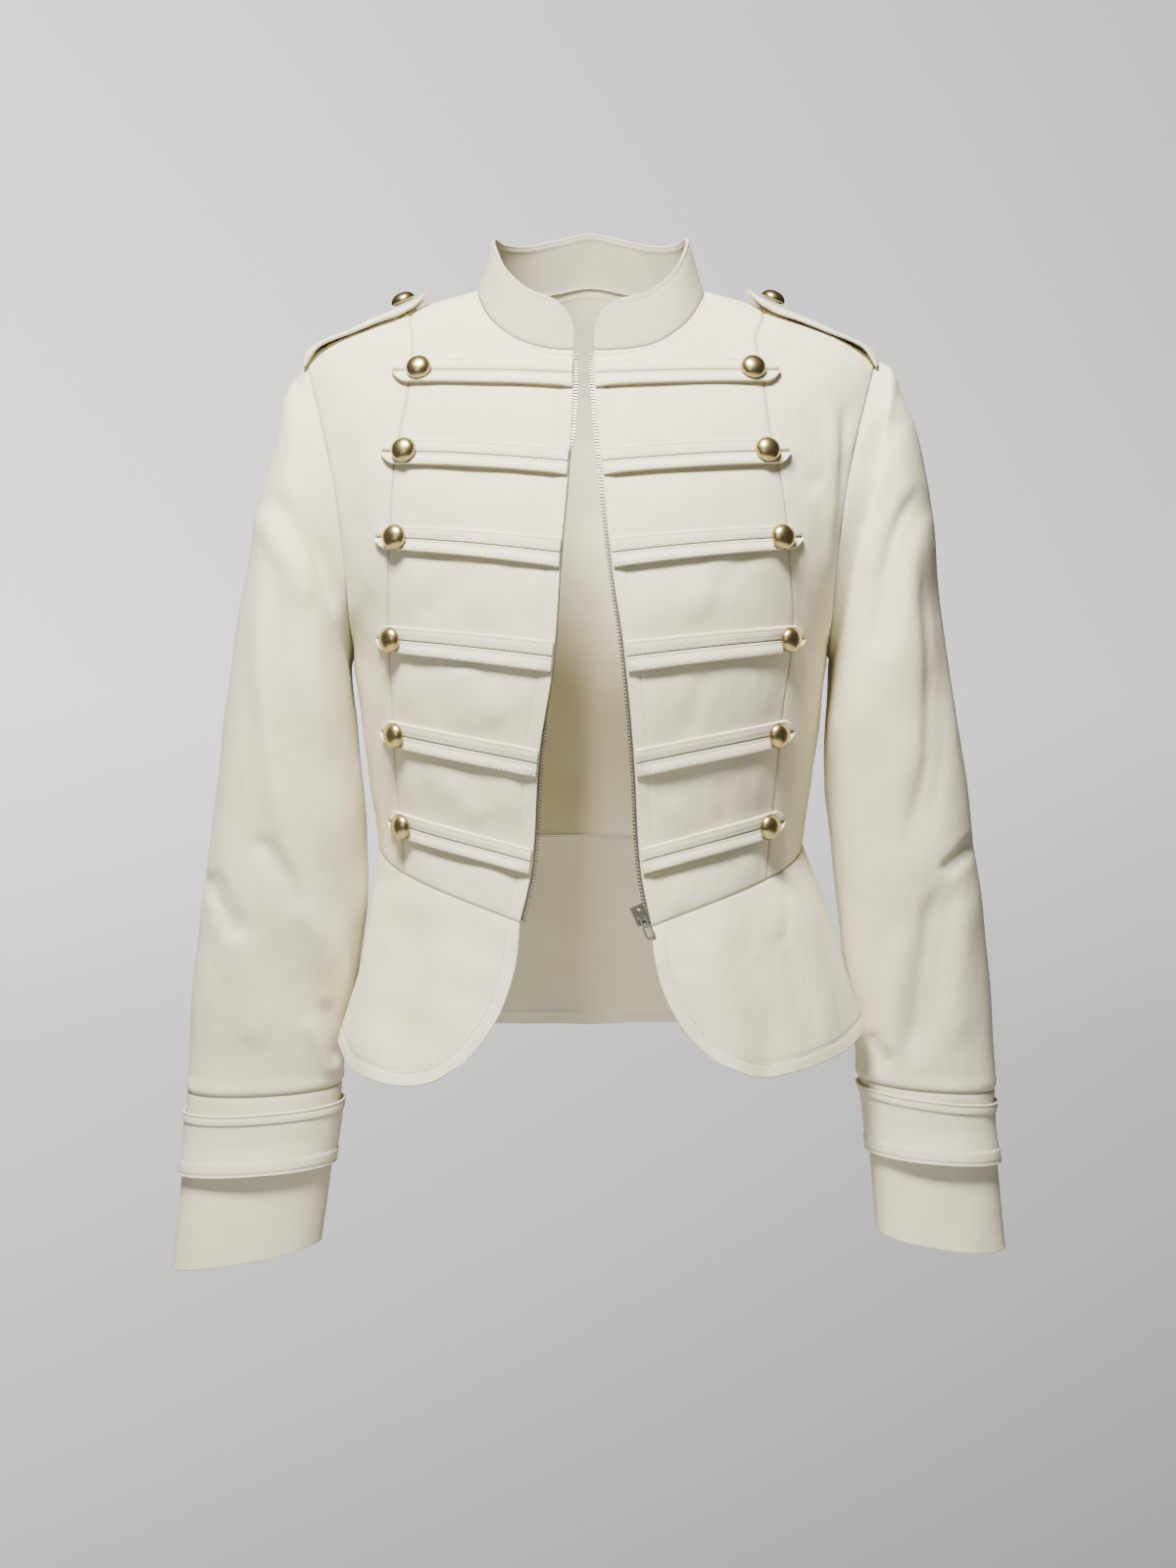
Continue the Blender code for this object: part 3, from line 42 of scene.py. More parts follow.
# The general figure under the cloth
figure = {
    "squareness": 2.25,
    "rows": (
        # z, half width, front depth, back depth
        (-0.540, 0.1800, 0.1330, 0.1230),
        (-0.470, 0.1615, 0.1180, 0.1040),
        (-0.420, 0.1488, 0.1110, 0.0880),
        (-0.385, 0.1440, 0.1100, 0.0840),
        (-0.350, 0.1482, 0.1140, 0.0880),
        (-0.300, 0.1555, 0.1220, 0.0960),
        (-0.250, 0.1610, 0.1270, 0.1030),
        (-0.200, 0.1777, 0.1240, 0.1070),
        (-0.150, 0.1920, 0.1130, 0.1070),
        (-0.100, 0.2012, 0.0950, 0.1010),
        (-0.075, 0.2025, 0.0830, 0.0960),
        (-0.0478, 0.1940, 0.0680, 0.0880),
        (-0.036, 0.1710, 0.0610, 0.0830),
        (-0.021, 0.1400, 0.0475, 0.0770),
        (-0.0085, 0.1080, 0.0330, 0.0720),
        (0.000, 0.0767, 0.0200, 0.0690),
        (0.015, 0.0560, 0.0130, 0.0640),
        (0.035, 0.0360, 0.0090, 0.0540),
    ),
}


def curveBetween(t, span, start, end, leaving, arriving):
    # one cubic piece from its ends and its slopes there
    rise = (2 * t ** 3 - 3 * t ** 2 + 1) * start + (3 * t ** 2 - 2 * t ** 3) * end
    run = (t ** 3 - 2 * t ** 2 + t) * leaving + (t ** 3 - t ** 2) * arriving
    return rise + run * span


def smoothTable(rows, column):
    # monotone cubics through one column of a table
    xs = np.array([row[0] for row in rows], float)
    ys = np.array([row[column] for row in rows], float)
    steps = np.diff(ys) / np.diff(xs)
    inside = [0.0 if a * b <= 0 else 2 * a * b / (a + b) for a, b in zip(steps, steps[1:])]
    slopes = np.array([steps[0], *inside, steps[-1]])

    def value(at):
        at = np.clip(at, xs[0], xs[-1])
        i = np.clip(np.searchsorted(xs, at, side="right") - 1, 0, len(xs) - 2)
        span = xs[i + 1] - xs[i]
        return curveBetween((at - xs[i]) / span, span, ys[i], ys[i + 1], slopes[i], slopes[i + 1])

    return value


halfWidth = smoothTable(figure["rows"], 1)
frontDepth = smoothTable(figure["rows"], 2)
backDepth = smoothTable(figure["rows"], 3)
squareness = figure["squareness"]
sideWord = {-1: "right", 1: "left"}
sideColumn = {-1: 1, 1: 2}  # where a table has a column for each side


def xyz(x, y, z):
    return np.stack(np.broadcast_arrays(*(np.asarray(part, float) for part in (x, y, z))), axis=-1)


def unit(v):
    return v / np.maximum(np.linalg.norm(v, axis=-1, keepdims=True), 1e-12)


def blendOf(a, b, t):
    return a + (b - a) * t


def smoothStep(value, low, high):
    t = np.clip((value - low) / (high - low), 0, 1)
    return t * t * (3 - 2 * t)


def onFigure(angle, z):
    # angle in degrees from the centre front
    s, c = np.sin(np.radians(angle)), np.cos(np.radians(angle))
    depth = np.where(c > 0, frontDepth(z), backDepth(z))
    total = (np.abs(s) / halfWidth(z)) ** squareness + (np.abs(c) / depth) ** squareness
    radius = total ** (-1 / squareness)
    return xyz(radius * s, -radius * c, z)


def figureValue(p):
    x, y, z = p[..., 0], p[..., 1], p[..., 2]
    depth = np.where(y < 0, frontDepth(z), backDepth(z))
    return (np.abs(x) / halfWidth(z)) ** squareness + (np.abs(y) / depth) ** squareness - 1


def figureSlope(p):
    h = 0.0002
    found = []
    for axis in range(3):
        step = np.zeros(3)
        step[axis] = h
        found.append((figureValue(p + step) - figureValue(p - step)) / (2 * h))
    return np.stack(found, axis=-1)


def figureNormal(p):
    return unit(figureSlope(np.asarray(p, float)))


def settle(p):
    p = np.array(p, float)
    for _ in range(10):
        slope = figureSlope(p)
        p = p - slope * (figureValue(p) / np.sum(slope * slope, axis=-1))[..., None]
    return p


def halving(low, high, isPast):
    # the place between low and high from which isPast holds
    for _ in range(40):
        middle = (low + high) / 2
        low, high = (low, middle) if isPast(middle) else (middle, high)
    return (low + high) / 2


def shoulderHeight(x, y):
    return halving(-0.12, 0.034, lambda z: figureValue(xyz(x, y, z)) > 0)


def lengthAlong(points, axis=0):
    points = np.moveaxis(points, axis, 0)
    steps = np.linalg.norm(np.diff(points, axis=0), axis=-1)
    total = np.concatenate([np.zeros((1,) + steps.shape[1:]), np.cumsum(steps, axis=0)])
    return np.moveaxis(total, 0, axis)


def shareOut(points, shares):
    points = np.asarray(points)
    lengths = lengthAlong(points)
    return [np.array([np.interp(s * lengths[-1], lengths, points[:, k]) for k in range(3)]) for s in shares]


# Cutting lines of the bodice
cut = {
    "neckHalfWidth": 0.0767, "neckFront": 0.0700, "neckBack": 0.0650, "neckEdge": -0.052,
    "neckFrontSquareness": 3.1, "neckBackSquareness": 2.3,
    "shoulderTip": -0.0478, "armpit": -0.2500, "frontScoop": 0.0085,
    "armholeTurns": (0, 16, 31, 46, 61, 78, 91, 110, 124, 150, 180),
    "waistFront": -0.4280, "waistFrontAngle": 22.0, "waistSide": -0.3760, "waistBack": -0.3740,
    "princessTop": 0.1170,
    "frontEdge": (
        # z, x on the wearer's right, x on the wearer's left
        (-0.430, -0.0466, 0.0402),
        (-0.388, -0.0378, 0.0322),
        (-0.323, -0.0336, 0.0284),
        (-0.256, -0.0237, 0.0222),
        (-0.190, -0.0191, 0.0130),
        (-0.130, -0.0142, 0.0073),
        (-0.068, -0.0113, 0.0024),
        (-0.050, -0.0113, 0.0023),
    ),
    "frontPrincess": (
        # z, angle on the wearer's right, angle on the wearer's left
        (-0.400, 62.5, 58.0),
        (-0.364, 63.0, 59.0),
        (-0.304, 60.5, 57.5),
        (-0.243, 58.5, 58.3),
        (-0.178, 55.3, 54.3),
        (-0.121, 56.5, 54.3),
        (-0.080, 59.0, 57.3),
        (-0.057, 62.5, 60.5),
        (-0.045, 65.0, 62.5),
        (-0.028, 73.0, 71.0),
        (-0.015, 84.0, 82.0),
    ),
    "backPrincess": (
        (-0.380, 116.0), (-0.310, 118.0), (-0.250, 121.0), (-0.180, 123.0), (-0.120, 122.0),
        (-0.080, 119.0), (-0.045, 113.0), (-0.028, 106.0), (-0.015, 96.0),
    ),
    "rows": (
        # z at the front edge, z at the front princess seam, z at the back princess seam, reach of a tab's tip
        (None, None, None, 0.0080),
        (-0.0545, -0.0270, -0.0220, 0.0080),
        (-0.0570, -0.0420, -0.0380, 0.0080),
        (-0.0600, -0.0570, -0.0600, 0.0080),
        (-0.0790, -0.0742, -0.0820, 0.0080),
        (-0.1210, -0.1124, -0.1080, 0.0080),
        (-0.1390, -0.1296, -0.1320, 0.0080),
        (-0.1805, -0.1695, -0.1650, 0.0090),
        (-0.1995, -0.1852, -0.1930, 0.0090),
        (-0.2467, -0.2340, -0.2240, 0.0095),
        (-0.2663, -0.2510, -0.2480, 0.0095),
        (-0.3157, -0.2958, -0.2750, 0.0100),
        (-0.3333, -0.3125, -0.3000, 0.0100),
        (-0.3797, -0.3552, -0.3260, 0.0100),
        (-0.3962, -0.3720, -0.3500, 0.0100),
        (None, None, None, 0.0095),
    ),
    "yokeRows": (1, 2), "yokeSlide": (0, 0.0005, 0.0020, 0.0050, 0.0025),
    "armpitRow": 10, "waistRow": 15, "tabRows": (3, 5, 7, 9, 11, 13),
    "frontSteps": (0.0, 0.10, 0.29, 0.48, 0.66, 0.84, 1.0),
    "neckSteps": (0.0, 0.10, 0.29, 0.50, 0.74, 1.0),
    "backNeckSteps": (0.0, 0.22, 0.46, 0.72, 1.0),
    "sideFrontSteps": (0.0, 0.36, 0.68, 1.0),
    "sideBackSteps": (0.0, 0.34, 0.67, 1.0),
    "backSteps": (0.0, 0.2, 0.4, 0.6, 0.8, 1.0),
}
tipX = float(halfWidth(cut["shoulderTip"]))
armpitX = float(halfWidth(cut["armpit"]))


def neckPoint(x, back):
    depth = cut["neckBack"] if back else -cut["neckFront"]
    power = cut["neckBackSquareness"] if back else cut["neckFrontSquareness"]
    share = max(0.0, 1 - abs(x / cut["neckHalfWidth"]) ** power)
    y = depth * share ** (1 / power)
    return xyz(x, y, shoulderHeight(x, y))


def neckLine(start, back, steps):
    shares = [math.sin(math.radians(90 * i / 160)) for i in range(161)]
    fine = [neckPoint(start + (cut["neckHalfWidth"] - start) * share, back) for share in shares]
    return shareOut(fine, steps)


def atWidth(x, z, back):
    # on the figure's front or back
    depth = backDepth(z) if back else -frontDepth(z)
    share = max(0.0, 1 - (abs(x) / halfWidth(z)) ** squareness)
    return xyz(x, depth * share ** (1 / squareness), z)


def armholePoint(turn, back):
    t = (1 - math.cos(math.radians(turn))) / 2
    x = tipX + (armpitX - tipX) * t
    z = cut["shoulderTip"] + (cut["armpit"] - cut["shoulderTip"]) * t
    if not back:
        x -= cut["frontScoop"] * math.sin(math.pi * t)
    return atWidth(x, z, back)


def waistZ(angle):
    front = (angle - cut["waistFrontAngle"]) / (90 - cut["waistFrontAngle"])
    ahead = cut["waistFront"] + (cut["waistSide"] - cut["waistFront"]) * front
    behind = cut["waistSide"] + (cut["waistBack"] - cut["waistSide"]) * (angle - 90) / 90
    return np.where(angle <= 90, ahead, behind)


def waistPoint(angle):
    return onFigure(angle, waistZ(angle))


def princessPoint(row, side=None):
    # on the front princess seam of a side, or on the back one, which is the same on both sides
    table = cut["frontPrincess"] if side else cut["backPrincess"]
    angleAt = smoothTable(table, sideColumn[side] if side else 1)
    if row == 0:
        return xyz(cut["princessTop"], 0, shoulderHeight(cut["princessTop"], 0))
    if row == cut["waistRow"]:
        return waistPoint(angleAt(table[0][0]))
    z = cut["rows"][row][1 if side else 2]
    return onFigure(angleAt(z), z)


def frontEdgePoint(row, side):
    edgeAt = smoothTable(cut["frontEdge"], sideColumn[side])
    if row == 0:
        return neckPoint(side * float(edgeAt(cut["neckEdge"])), False)
    z = cut["rows"][row][0] if row < cut["waistRow"] else cut["waistFront"]
    return atWidth(side * edgeAt(z), z, False)


def outerEdgePoint(row, back):
    if row <= cut["armpitRow"]:
        return armholePoint(cut["armholeTurns"][row], back)
    t = (row - cut["armpitRow"]) / (cut["waistRow"] - cut["armpitRow"])
    return onFigure(90, cut["armpit"] + (cut["waistSide"] - cut["armpit"]) * t)


def planAngle(p):
    return math.degrees(math.atan2(p[0], -p[1]))


def between(start, end, steps):
    return [start + (end - start) * step for step in steps]


def frontWaistAngles(side):
    start = planAngle(frontEdgePoint(cut["waistRow"], side))
    seam = planAngle(princessPoint(cut["waistRow"], side))
    near = seam + math.degrees(cut["rows"][cut["waistRow"]][3] / np.linalg.norm(waistPoint(seam)[:2]))
    return between(start, seam, cut["frontSteps"]) + between(near, 90, cut["sideFrontSteps"])


def backWaistAngles():
    seam = planAngle(princessPoint(cut["waistRow"]))
    return between(90, seam, cut["sideBackSteps"]) + between(180, seam, cut["backSteps"])[-2::-1]


def settledRow(start, end, steps):
    row = [settle(blendOf(start, end, step)) for step in steps]
    row[0], row[-1] = start, end
    return row


def mirrored(lines, side):
    return np.array(lines) * (side, 1, 1)


def frontGrid(side):
    waist = cut["waistRow"]
    edge = [frontEdgePoint(row, side) for row in range(waist + 1)]
    seam = [princessPoint(row, side) for row in range(waist + 1)]
    top = neckLine(edge[0][0], False, cut["neckSteps"]) + [seam[0]]
    lines = [top]
    for row in range(1, waist):
        angles = between(planAngle(edge[row]), planAngle(seam[row]), cut["frontSteps"])
        heights = between(edge[row][2], seam[row][2], cut["frontSteps"])
        lines.append([edge[row]] + [onFigure(a, z) for a, z in zip(angles[1:], heights[1:])])
    for row in cut["yokeRows"]:
        share = row / (len(cut["yokeRows"]) + 1)
        inner = [settle(blendOf(a, b, share) + xyz(slide, 0, 0))
                 for a, b, slide in zip(top[1:-1], lines[cut["tabRows"][0]][1:-1], cut["yokeSlide"])]
        lines[row] = [edge[row]] + inner + [seam[row]]
    lines.append([waistPoint(a) for a in frontWaistAngles(side)[:len(cut["frontSteps"])]])
    return mirrored(lines, side)


def sideFrontGrid(side):
    lines = []
    for row in range(cut["waistRow"]):
        start = princessPoint(row, side)
        end = outerEdgePoint(row, False)
        reach = cut["rows"][row][3]
        near = settle(start + unit(end - start) * reach)
        if row >= cut["tabRows"][0]:
            edge = frontEdgePoint(row, side)
            turn = math.degrees(reach / np.linalg.norm(start[:2]))
            fall = (start[2] - edge[2]) / (planAngle(start) - planAngle(edge))
            near = onFigure(planAngle(start) + turn, start[2] + fall * turn)
        if row == 0:
            near = xyz(near[0], 0, shoulderHeight(near[0], 0))
        lines.append([start] + settledRow(near, end, cut["sideFrontSteps"]))
    lines.append([waistPoint(a) for a in frontWaistAngles(side)[len(cut["frontSteps"]) - 1:]])
    return mirrored(lines, side)


def sideBackGrid(side):
    lines = []
    for row in range(cut["waistRow"]):
        lines.append(settledRow(princessPoint(row), outerEdgePoint(row, True), cut["sideBackSteps"]))
    lines.append([waistPoint(a) for a in backWaistAngles()[:len(cut["sideBackSteps"])][::-1]])
    return mirrored(lines, side)


def backGrid():
    top = neckLine(0.0, True, cut["backNeckSteps"]) + [princessPoint(0)]
    halves = []
    for row in range(cut["waistRow"]):
        seam = princessPoint(row)
        halves.append([onFigure(a, seam[2]) for a in between(180, planAngle(seam), cut["backSteps"])])
    halves[0] = top
    for row in cut["yokeRows"]:
        share = row / (len(cut["yokeRows"]) + 1)
        inner = [settle(blendOf(a, b, share)) for a, b in zip(top[:-1], halves[cut["tabRows"][0]][:-1])]
        halves[row] = inner + [princessPoint(row)]
    halves.append([waistPoint(a) for a in backWaistAngles()[:-len(cut["backSteps"]) - 1:-1]])
    halves = np.array(halves)
    halves[:, 0, 0] = 0.0
    return np.concatenate([halves[:, :0:-1] * (-1, 1, 1), halves], axis=1)


# Peplum, collar, sleeves and cuffs
peplumCut = {
    "hemRadius": (
        # angle, radius on the wearer's right, radius on the wearer's left
        (0, 0.1320, 0.1320),
        (30, 0.1395, 0.1395),
        (45, 0.1550, 0.1550),
        (60, 0.1660, 0.1680),
        (71, 0.1715, 0.1815),
        (79, 0.1722, 0.1880),
        (90, 0.1520, 0.1660),
        (103, 0.1470, 0.1550),
        (122, 0.1490, 0.1530),
        (143, 0.1370, 0.1380),
        (162, 0.1300, 0.1300),
        (180, 0.1230, 0.1230),
    ),
    "hemHeight": (
        # angle, z on the wearer's right, z on the wearer's left
        (0, -0.5300, -0.5265),
        (38, -0.5330, -0.5275),
        (54, -0.5325, -0.5250),
        (64, -0.5285, -0.5190),
        (72, -0.5205, -0.5110),
        (79, -0.5090, -0.5005),
        (90, -0.5020, -0.4980),
        (110, -0.5080, -0.5060),
        (180, -0.5120, -0.5120),
    ),
    "cutawayWidth": 0.0755, "cutawayCorner": 58, "flare": {-1: 1.3, 1: 0.8}, "steps": 5,
}
hemRadiusAt = {side: smoothTable(peplumCut["hemRadius"], column) for side, column in sideColumn.items()}
hemHeightAt = {side: smoothTable(peplumCut["hemHeight"], column) for side, column in sideColumn.items()}


def peplumPoint(angle, z, side):
    top = waistPoint(angle)
    reach = math.hypot(top[0], top[1])
    share = (top[2] - z) / (top[2] - hemHeightAt[side](angle))
    even = min(1, max(0, (angle - 90) / 60))
    curve = peplumCut["flare"][side] * (1 - even) + even
    radius = reach + (hemRadiusAt[side](angle) - reach) * math.copysign(abs(share) ** curve, share)
    turn = math.radians(angle)
    return xyz(radius * math.sin(turn), -radius * math.cos(turn), z)


def cutawayAngle(x, z, side):
    return halving(5.0, 75.0, lambda angle: peplumPoint(angle, z, side)[0] >= x)


def peplumFrontGrid(side):
    angles = frontWaistAngles(side)
    start = waistPoint(angles[0])
    width, corner, steps = peplumCut["cutawayWidth"], peplumCut["cutawayCorner"], peplumCut["steps"]
    footX = start[0] + width
    footZ = hemHeightAt[side](math.degrees(math.atan2(footX, -start[1])))

    def cutaway(turn):
        x = start[0] + width * (1 - math.cos(math.radians(turn)))
        z = start[2] + (footZ - start[2]) * math.sin(math.radians(turn))
        return np.array((cutawayAngle(x, z, side), z))

    left = [cutaway(corner * i / steps) for i in range(steps + 1)]
    foot = [cutaway(turn) for turn in (corner, (corner + 90) / 2, 90)]
    rest = len(angles) - len(foot)
    for i in range(1, rest + 1):
        angle = foot[2][0] + (90 - foot[2][0]) * i / rest
        foot.append(np.array((angle, hemHeightAt[side](angle))))
    top = [np.array((angle, waistZ(angle))) for angle in angles]
    lines = []
    for i in range(steps + 1):
        v = i / steps
        right = blendOf(top[-1], foot[-1], v)
        line = []
        for j in range(len(angles)):
            u = j / (len(angles) - 1)
            corners = blendOf(blendOf(top[0], top[-1], u), blendOf(foot[0], foot[-1], u), v)
            spot = blendOf(left[i], right, u) + blendOf(top[j], foot[j], v) - corners
            line.append(peplumPoint(spot[0], spot[1], side))
        lines.append(line)
    return mirrored(lines, side)


def peplumBackGrid():
    lines = []
    steps = peplumCut["steps"]
    for i in range(steps + 1):
        halves = []
        for side in (-1, 1):
            half = []
            for angle in backWaistAngles():
                z = waistZ(angle) + (hemHeightAt[side](angle) - waistZ(angle)) * i / steps
                half.append(peplumPoint(angle, z, side))
            halves.append(mirrored(half, side))
        halves[0][-1][0] = 0.0
        lines.append(np.concatenate([halves[0], halves[1][-2::-1]]))
    return np.array(lines)


collarCut = {"sideHeight": 0.0350, "backHeight": 0.0370, "lean": 0.135, "cornerWidth": 0.0240,
             "cornerHeight": 0.0260, "neckColumns": 6}


def collarBase():
    columns = collarCut["neckColumns"]
    right = frontGrid(-1)[0][:columns]
    left = frontGrid(1)[0][:columns][::-1]
    return np.concatenate([right, backGrid()[0][2:-2], left])


turns = cut["armholeTurns"] + tuple(360 - turn for turn in cut["armholeTurns"][-2:0:-1])
sleeveCut = {
    "squareness": 2.2,
    -1: (
        # outer x, outer z, inner x, inner z, middle y, front depth, back depth, front drop
        (0.2035, -0.062, 0.1630, -0.2580, -0.001, 0.0560, 0.0530, 0.0000),
        (0.2120, -0.090, 0.1625, -0.2680, -0.002, 0.0600, 0.0570, 0.0000),
        (0.2205, -0.125, 0.1615, -0.2800, -0.003, 0.0630, 0.0610, 0.0000),
        (0.2290, -0.165, 0.1597, -0.2950, -0.004, 0.0645, 0.0630, 0.0000),
        (0.2365, -0.210, 0.1580, -0.3120, -0.005, 0.0640, 0.0630, 0.0000),
        (0.2450, -0.265, 0.1550, -0.3370, -0.006, 0.0600, 0.0590, 0.0000),
        (0.2520, -0.325, 0.1520, -0.3720, -0.008, 0.0540, 0.0530, 0.0000),
        (0.2600, -0.385, 0.1515, -0.4120, -0.008, 0.0480, 0.0470, 0.0000),
        (0.2675, -0.445, 0.1565, -0.4570, -0.006, 0.0420, 0.0410, 0.0010),
        (0.2725, -0.4970, 0.1635, -0.4970, -0.003, 0.0370, 0.0370, 0.0030),
        (0.2755, -0.5454, 0.1695, -0.5400, 0.000, 0.0340, 0.0340, 0.0050),
    ),
    1: (
        (0.2050, -0.0490, 0.1632, -0.2540, -0.001, 0.0550, 0.0520, 0.0000),
        (0.2095, -0.0650, 0.1630, -0.2600, -0.001, 0.0580, 0.0550, 0.0000),
        (0.2187, -0.0900, 0.1627, -0.2690, -0.002, 0.0605, 0.0575, 0.0000),
        (0.2272, -0.1250, 0.1620, -0.2800, -0.003, 0.0630, 0.0610, 0.0000),
        (0.2335, -0.1650, 0.1605, -0.2950, -0.004, 0.0645, 0.0630, 0.0000),
        (0.2376, -0.2100, 0.1595, -0.3120, -0.005, 0.0640, 0.0630, 0.0000),
        (0.2452, -0.2650, 0.1600, -0.3380, -0.006, 0.0600, 0.0590, 0.0000),
        (0.2537, -0.3250, 0.1630, -0.3700, -0.008, 0.0540, 0.0530, 0.0000),
        (0.2615, -0.3850, 0.1670, -0.4120, -0.008, 0.0480, 0.0470, 0.0000),
        (0.2695, -0.4450, 0.1720, -0.4570, -0.006, 0.0420, 0.0410, 0.0010),
        (0.2740, -0.4970, 0.1772, -0.4960, -0.003, 0.0370, 0.0370, 0.0030),
        (0.2765, -0.5434, 0.1820, -0.5360, 0.000, 0.0340, 0.0340, 0.0050),
    ),
}
cuffCut = {
    -1: (
        sleeveCut[-1][-1],
        (0.2757, -0.5595, 0.1705, -0.5515, 0.000, 0.0335, 0.0335, 0.0040),
        (0.2790, -0.6030, 0.1765, -0.5945, 0.001, 0.0320, 0.0320, 0.0020),
        (0.2863, -0.6670, 0.1840, -0.6490, 0.002, 0.0300, 0.0300, 0.0030),
    ),
    1: (
        sleeveCut[1][-1],
        (0.2753, -0.5530, 0.1838, -0.5400, 0.000, 0.0335, 0.0335, 0.0040),
        (0.2778, -0.5945, 0.1905, -0.5860, 0.001, 0.0330, 0.0330, 0.0025),
        (0.2842, -0.6520, 0.1950, -0.6395, 0.002, 0.0320, 0.0320, 0.0060),
    ),
}


def ring(row):
    outerX, outerZ, innerX, innerZ, middleY, front, back, drop = row
    outer, inner = xyz(outerX, middleY, outerZ), xyz(innerX, middleY, innerZ)
    angles = np.radians(turns)
    power = 2 / sleeveCut["squareness"]
    c = np.copysign(np.abs(np.cos(angles)) ** power, np.cos(angles))
    s = np.copysign(np.abs(np.sin(angles)) ** power, np.sin(angles))
    depth = np.where(s > 0, front, back)
    across = (outer + inner) / 2 + (outer - inner) / 2 * c[:, None]
    return across + xyz(0, -depth * s, -drop * s)


def sleeveGrid(side):
    first = [armholePoint(turn if turn <= 180 else 360 - turn, turn > 180) for turn in turns]
    return mirrored([first] + [ring(row) for row in sleeveCut[side]], side)


def cuffGrid(side):
    return mirrored([ring(row) for row in cuffCut[side]], side)


# Smooth surfaces through the cutting lines

def splineAt(points, knots, at, corners=()):
    shape = (-1,) + (1,) * (points.ndim - 1)
    h = np.diff(knots)
    slope = np.diff(points, axis=0) / h.reshape(shape)
    if len(points) > 2:
        before, after = h[:-1].reshape(shape), h[1:].reshape(shape)
        inside = (slope[:-1] * after + slope[1:] * before) / (before + after)
        ends = 1.5 * slope[[0, -1]] - 0.5 * inside[[0, -1]]
        leaving = np.concatenate([ends[:1], inside, ends[1:]])
    else:
        leaving = np.concatenate([slope, slope])
    arriving = leaving.copy()
    for corner in corners:
        leaving[corner] = slope[corner]
        arriving[corner] = slope[corner - 1]
    i = np.clip(np.searchsorted(knots, at, side="right") - 1, 0, len(knots) - 2)
    span = h[i].reshape(shape)
    t = ((at - knots[i]) / h[i]).reshape(shape)
    return curveBetween(t, span, points[i], points[i + 1], leaving[i], arriving[i + 1])


def stations(length, count, near=(), far=()):
    # distances along a line: close together at its ends, even between
    first = list(near)
    last = [length - f for f in far][::-1]
    start = first[-1] if first else 0.0
    end = last[0] if last else length
    middle = np.linspace(start, end, count + 1)
    middle = middle if first else middle[1:]
    return np.concatenate([[0.0], first[:-1], middle, last[1:], [length] if last else []])


def sheetGrid(coarse, rowKnots, rowAt, columnCount, near=(), far=(), corners=(), cornerRows=0):
    # refine down the columns, then along each row by true distance
    lines = splineAt(coarse, rowKnots, rowAt, (0,))
    rows = []
    for line, at in zip(lines, rowAt):
        knots = lengthAlong(line)
        where = stations(knots[-1], columnCount, near, far)
        row = splineAt(line, knots, where)
        if corners and at < rowKnots[cornerRows]:
            sharp = splineAt(line, knots, where, corners)
            row = blendOf(sharp, row, smoothStep(at, 0, rowKnots[cornerRows]))
        rows.append(row)
    return np.array(rows)


def meanKnots(coarse):
    # places of the rows by the mean length of the columns
    return np.concatenate([[0.0], np.cumsum(np.linalg.norm(np.diff(coarse, axis=0), axis=-1).mean(axis=1))])


def tubeGrid(coarse, rowAt, columnCount):
    # a closed ring of cloth: columns follow the turns, rows the length
    knots = meanKnots(coarse)
    lines = splineAt(coarse, knots, rowAt(knots[-1]))
    wrapped = np.concatenate([lines[:, -3:], lines, lines[:, :4]], axis=1)
    turnKnots = np.array([t - 360 for t in turns[-3:]] + list(turns) + [360 + t for t in turns[:4]], float)
    at = np.linspace(0, 360, columnCount, endpoint=False)
    return np.moveaxis(splineAt(np.moveaxis(wrapped, 1, 0), turnKnots, at), 0, 1), at


def gridNormals(p, closed=False):
    down = np.gradient(p, axis=0)
    if closed:
        across = np.roll(p, -1, axis=1) - np.roll(p, 1, axis=1)
        hub = p.mean(axis=1, keepdims=True)
    else:
        across = np.gradient(p, axis=1)
        hub = np.zeros_like(p)
    normal = unit(np.cross(across, down))
    away = (p - hub) * (1, 1, 0)
    return normal * (1 if np.sum(normal * away) > 0 else -1)

# Folds, ripples and pressed lines

def nearLine(p, path, flat=False):
    # distance to a line, which side of it, and how far along it
    axes = (0, 2) if flat else (0, 1, 2)
    q = p[..., axes]
    path = np.asarray(path, float)
    lengths = lengthAlong(path)
    best = np.full(q.shape[:-1], 9.0)
    lean = np.zeros_like(best)
    share = np.zeros_like(best)
    for k in range(len(path) - 1):
        a, ab = path[k], path[k + 1] - path[k]
        t = np.clip(((q - a) @ ab) / (ab @ ab), 0, 1)
        gap = q - (a + t[..., None] * ab)
        d = np.linalg.norm(gap, axis=-1)
        closer = d < best
        best = np.where(closer, d, best)
        share = np.where(closer, (lengths[k] + t * math.sqrt(ab @ ab)) / lengths[-1], share)
        if flat:
            lean = np.where(closer, np.sign(ab[0] * gap[..., 1] - ab[1] * gap[..., 0]), lean)
    return best, lean, share


def foldLift(p, n, folds):
    # a fold's width, its height, how much of that is taken off beside it, and points (x, z) along it
    lift = np.zeros(p.shape[:2])
    for group, way in (("front", -3), ("back", 3)):
        facing = np.clip(n[..., 1] * way, 0, 1)
        for width, height, lip, *path in folds[group]:
            d, lean, share = nearLine(p, path, flat=True)
            signed = d * lean / width
            shape = dip(signed, 1) - lip * dip(signed - 1.5, 1)
            ends = smoothStep(share, 0, 0.22) * smoothStep(1 - share, 0, 0.22)
            lift += height * shape * ends * facing
    return lift


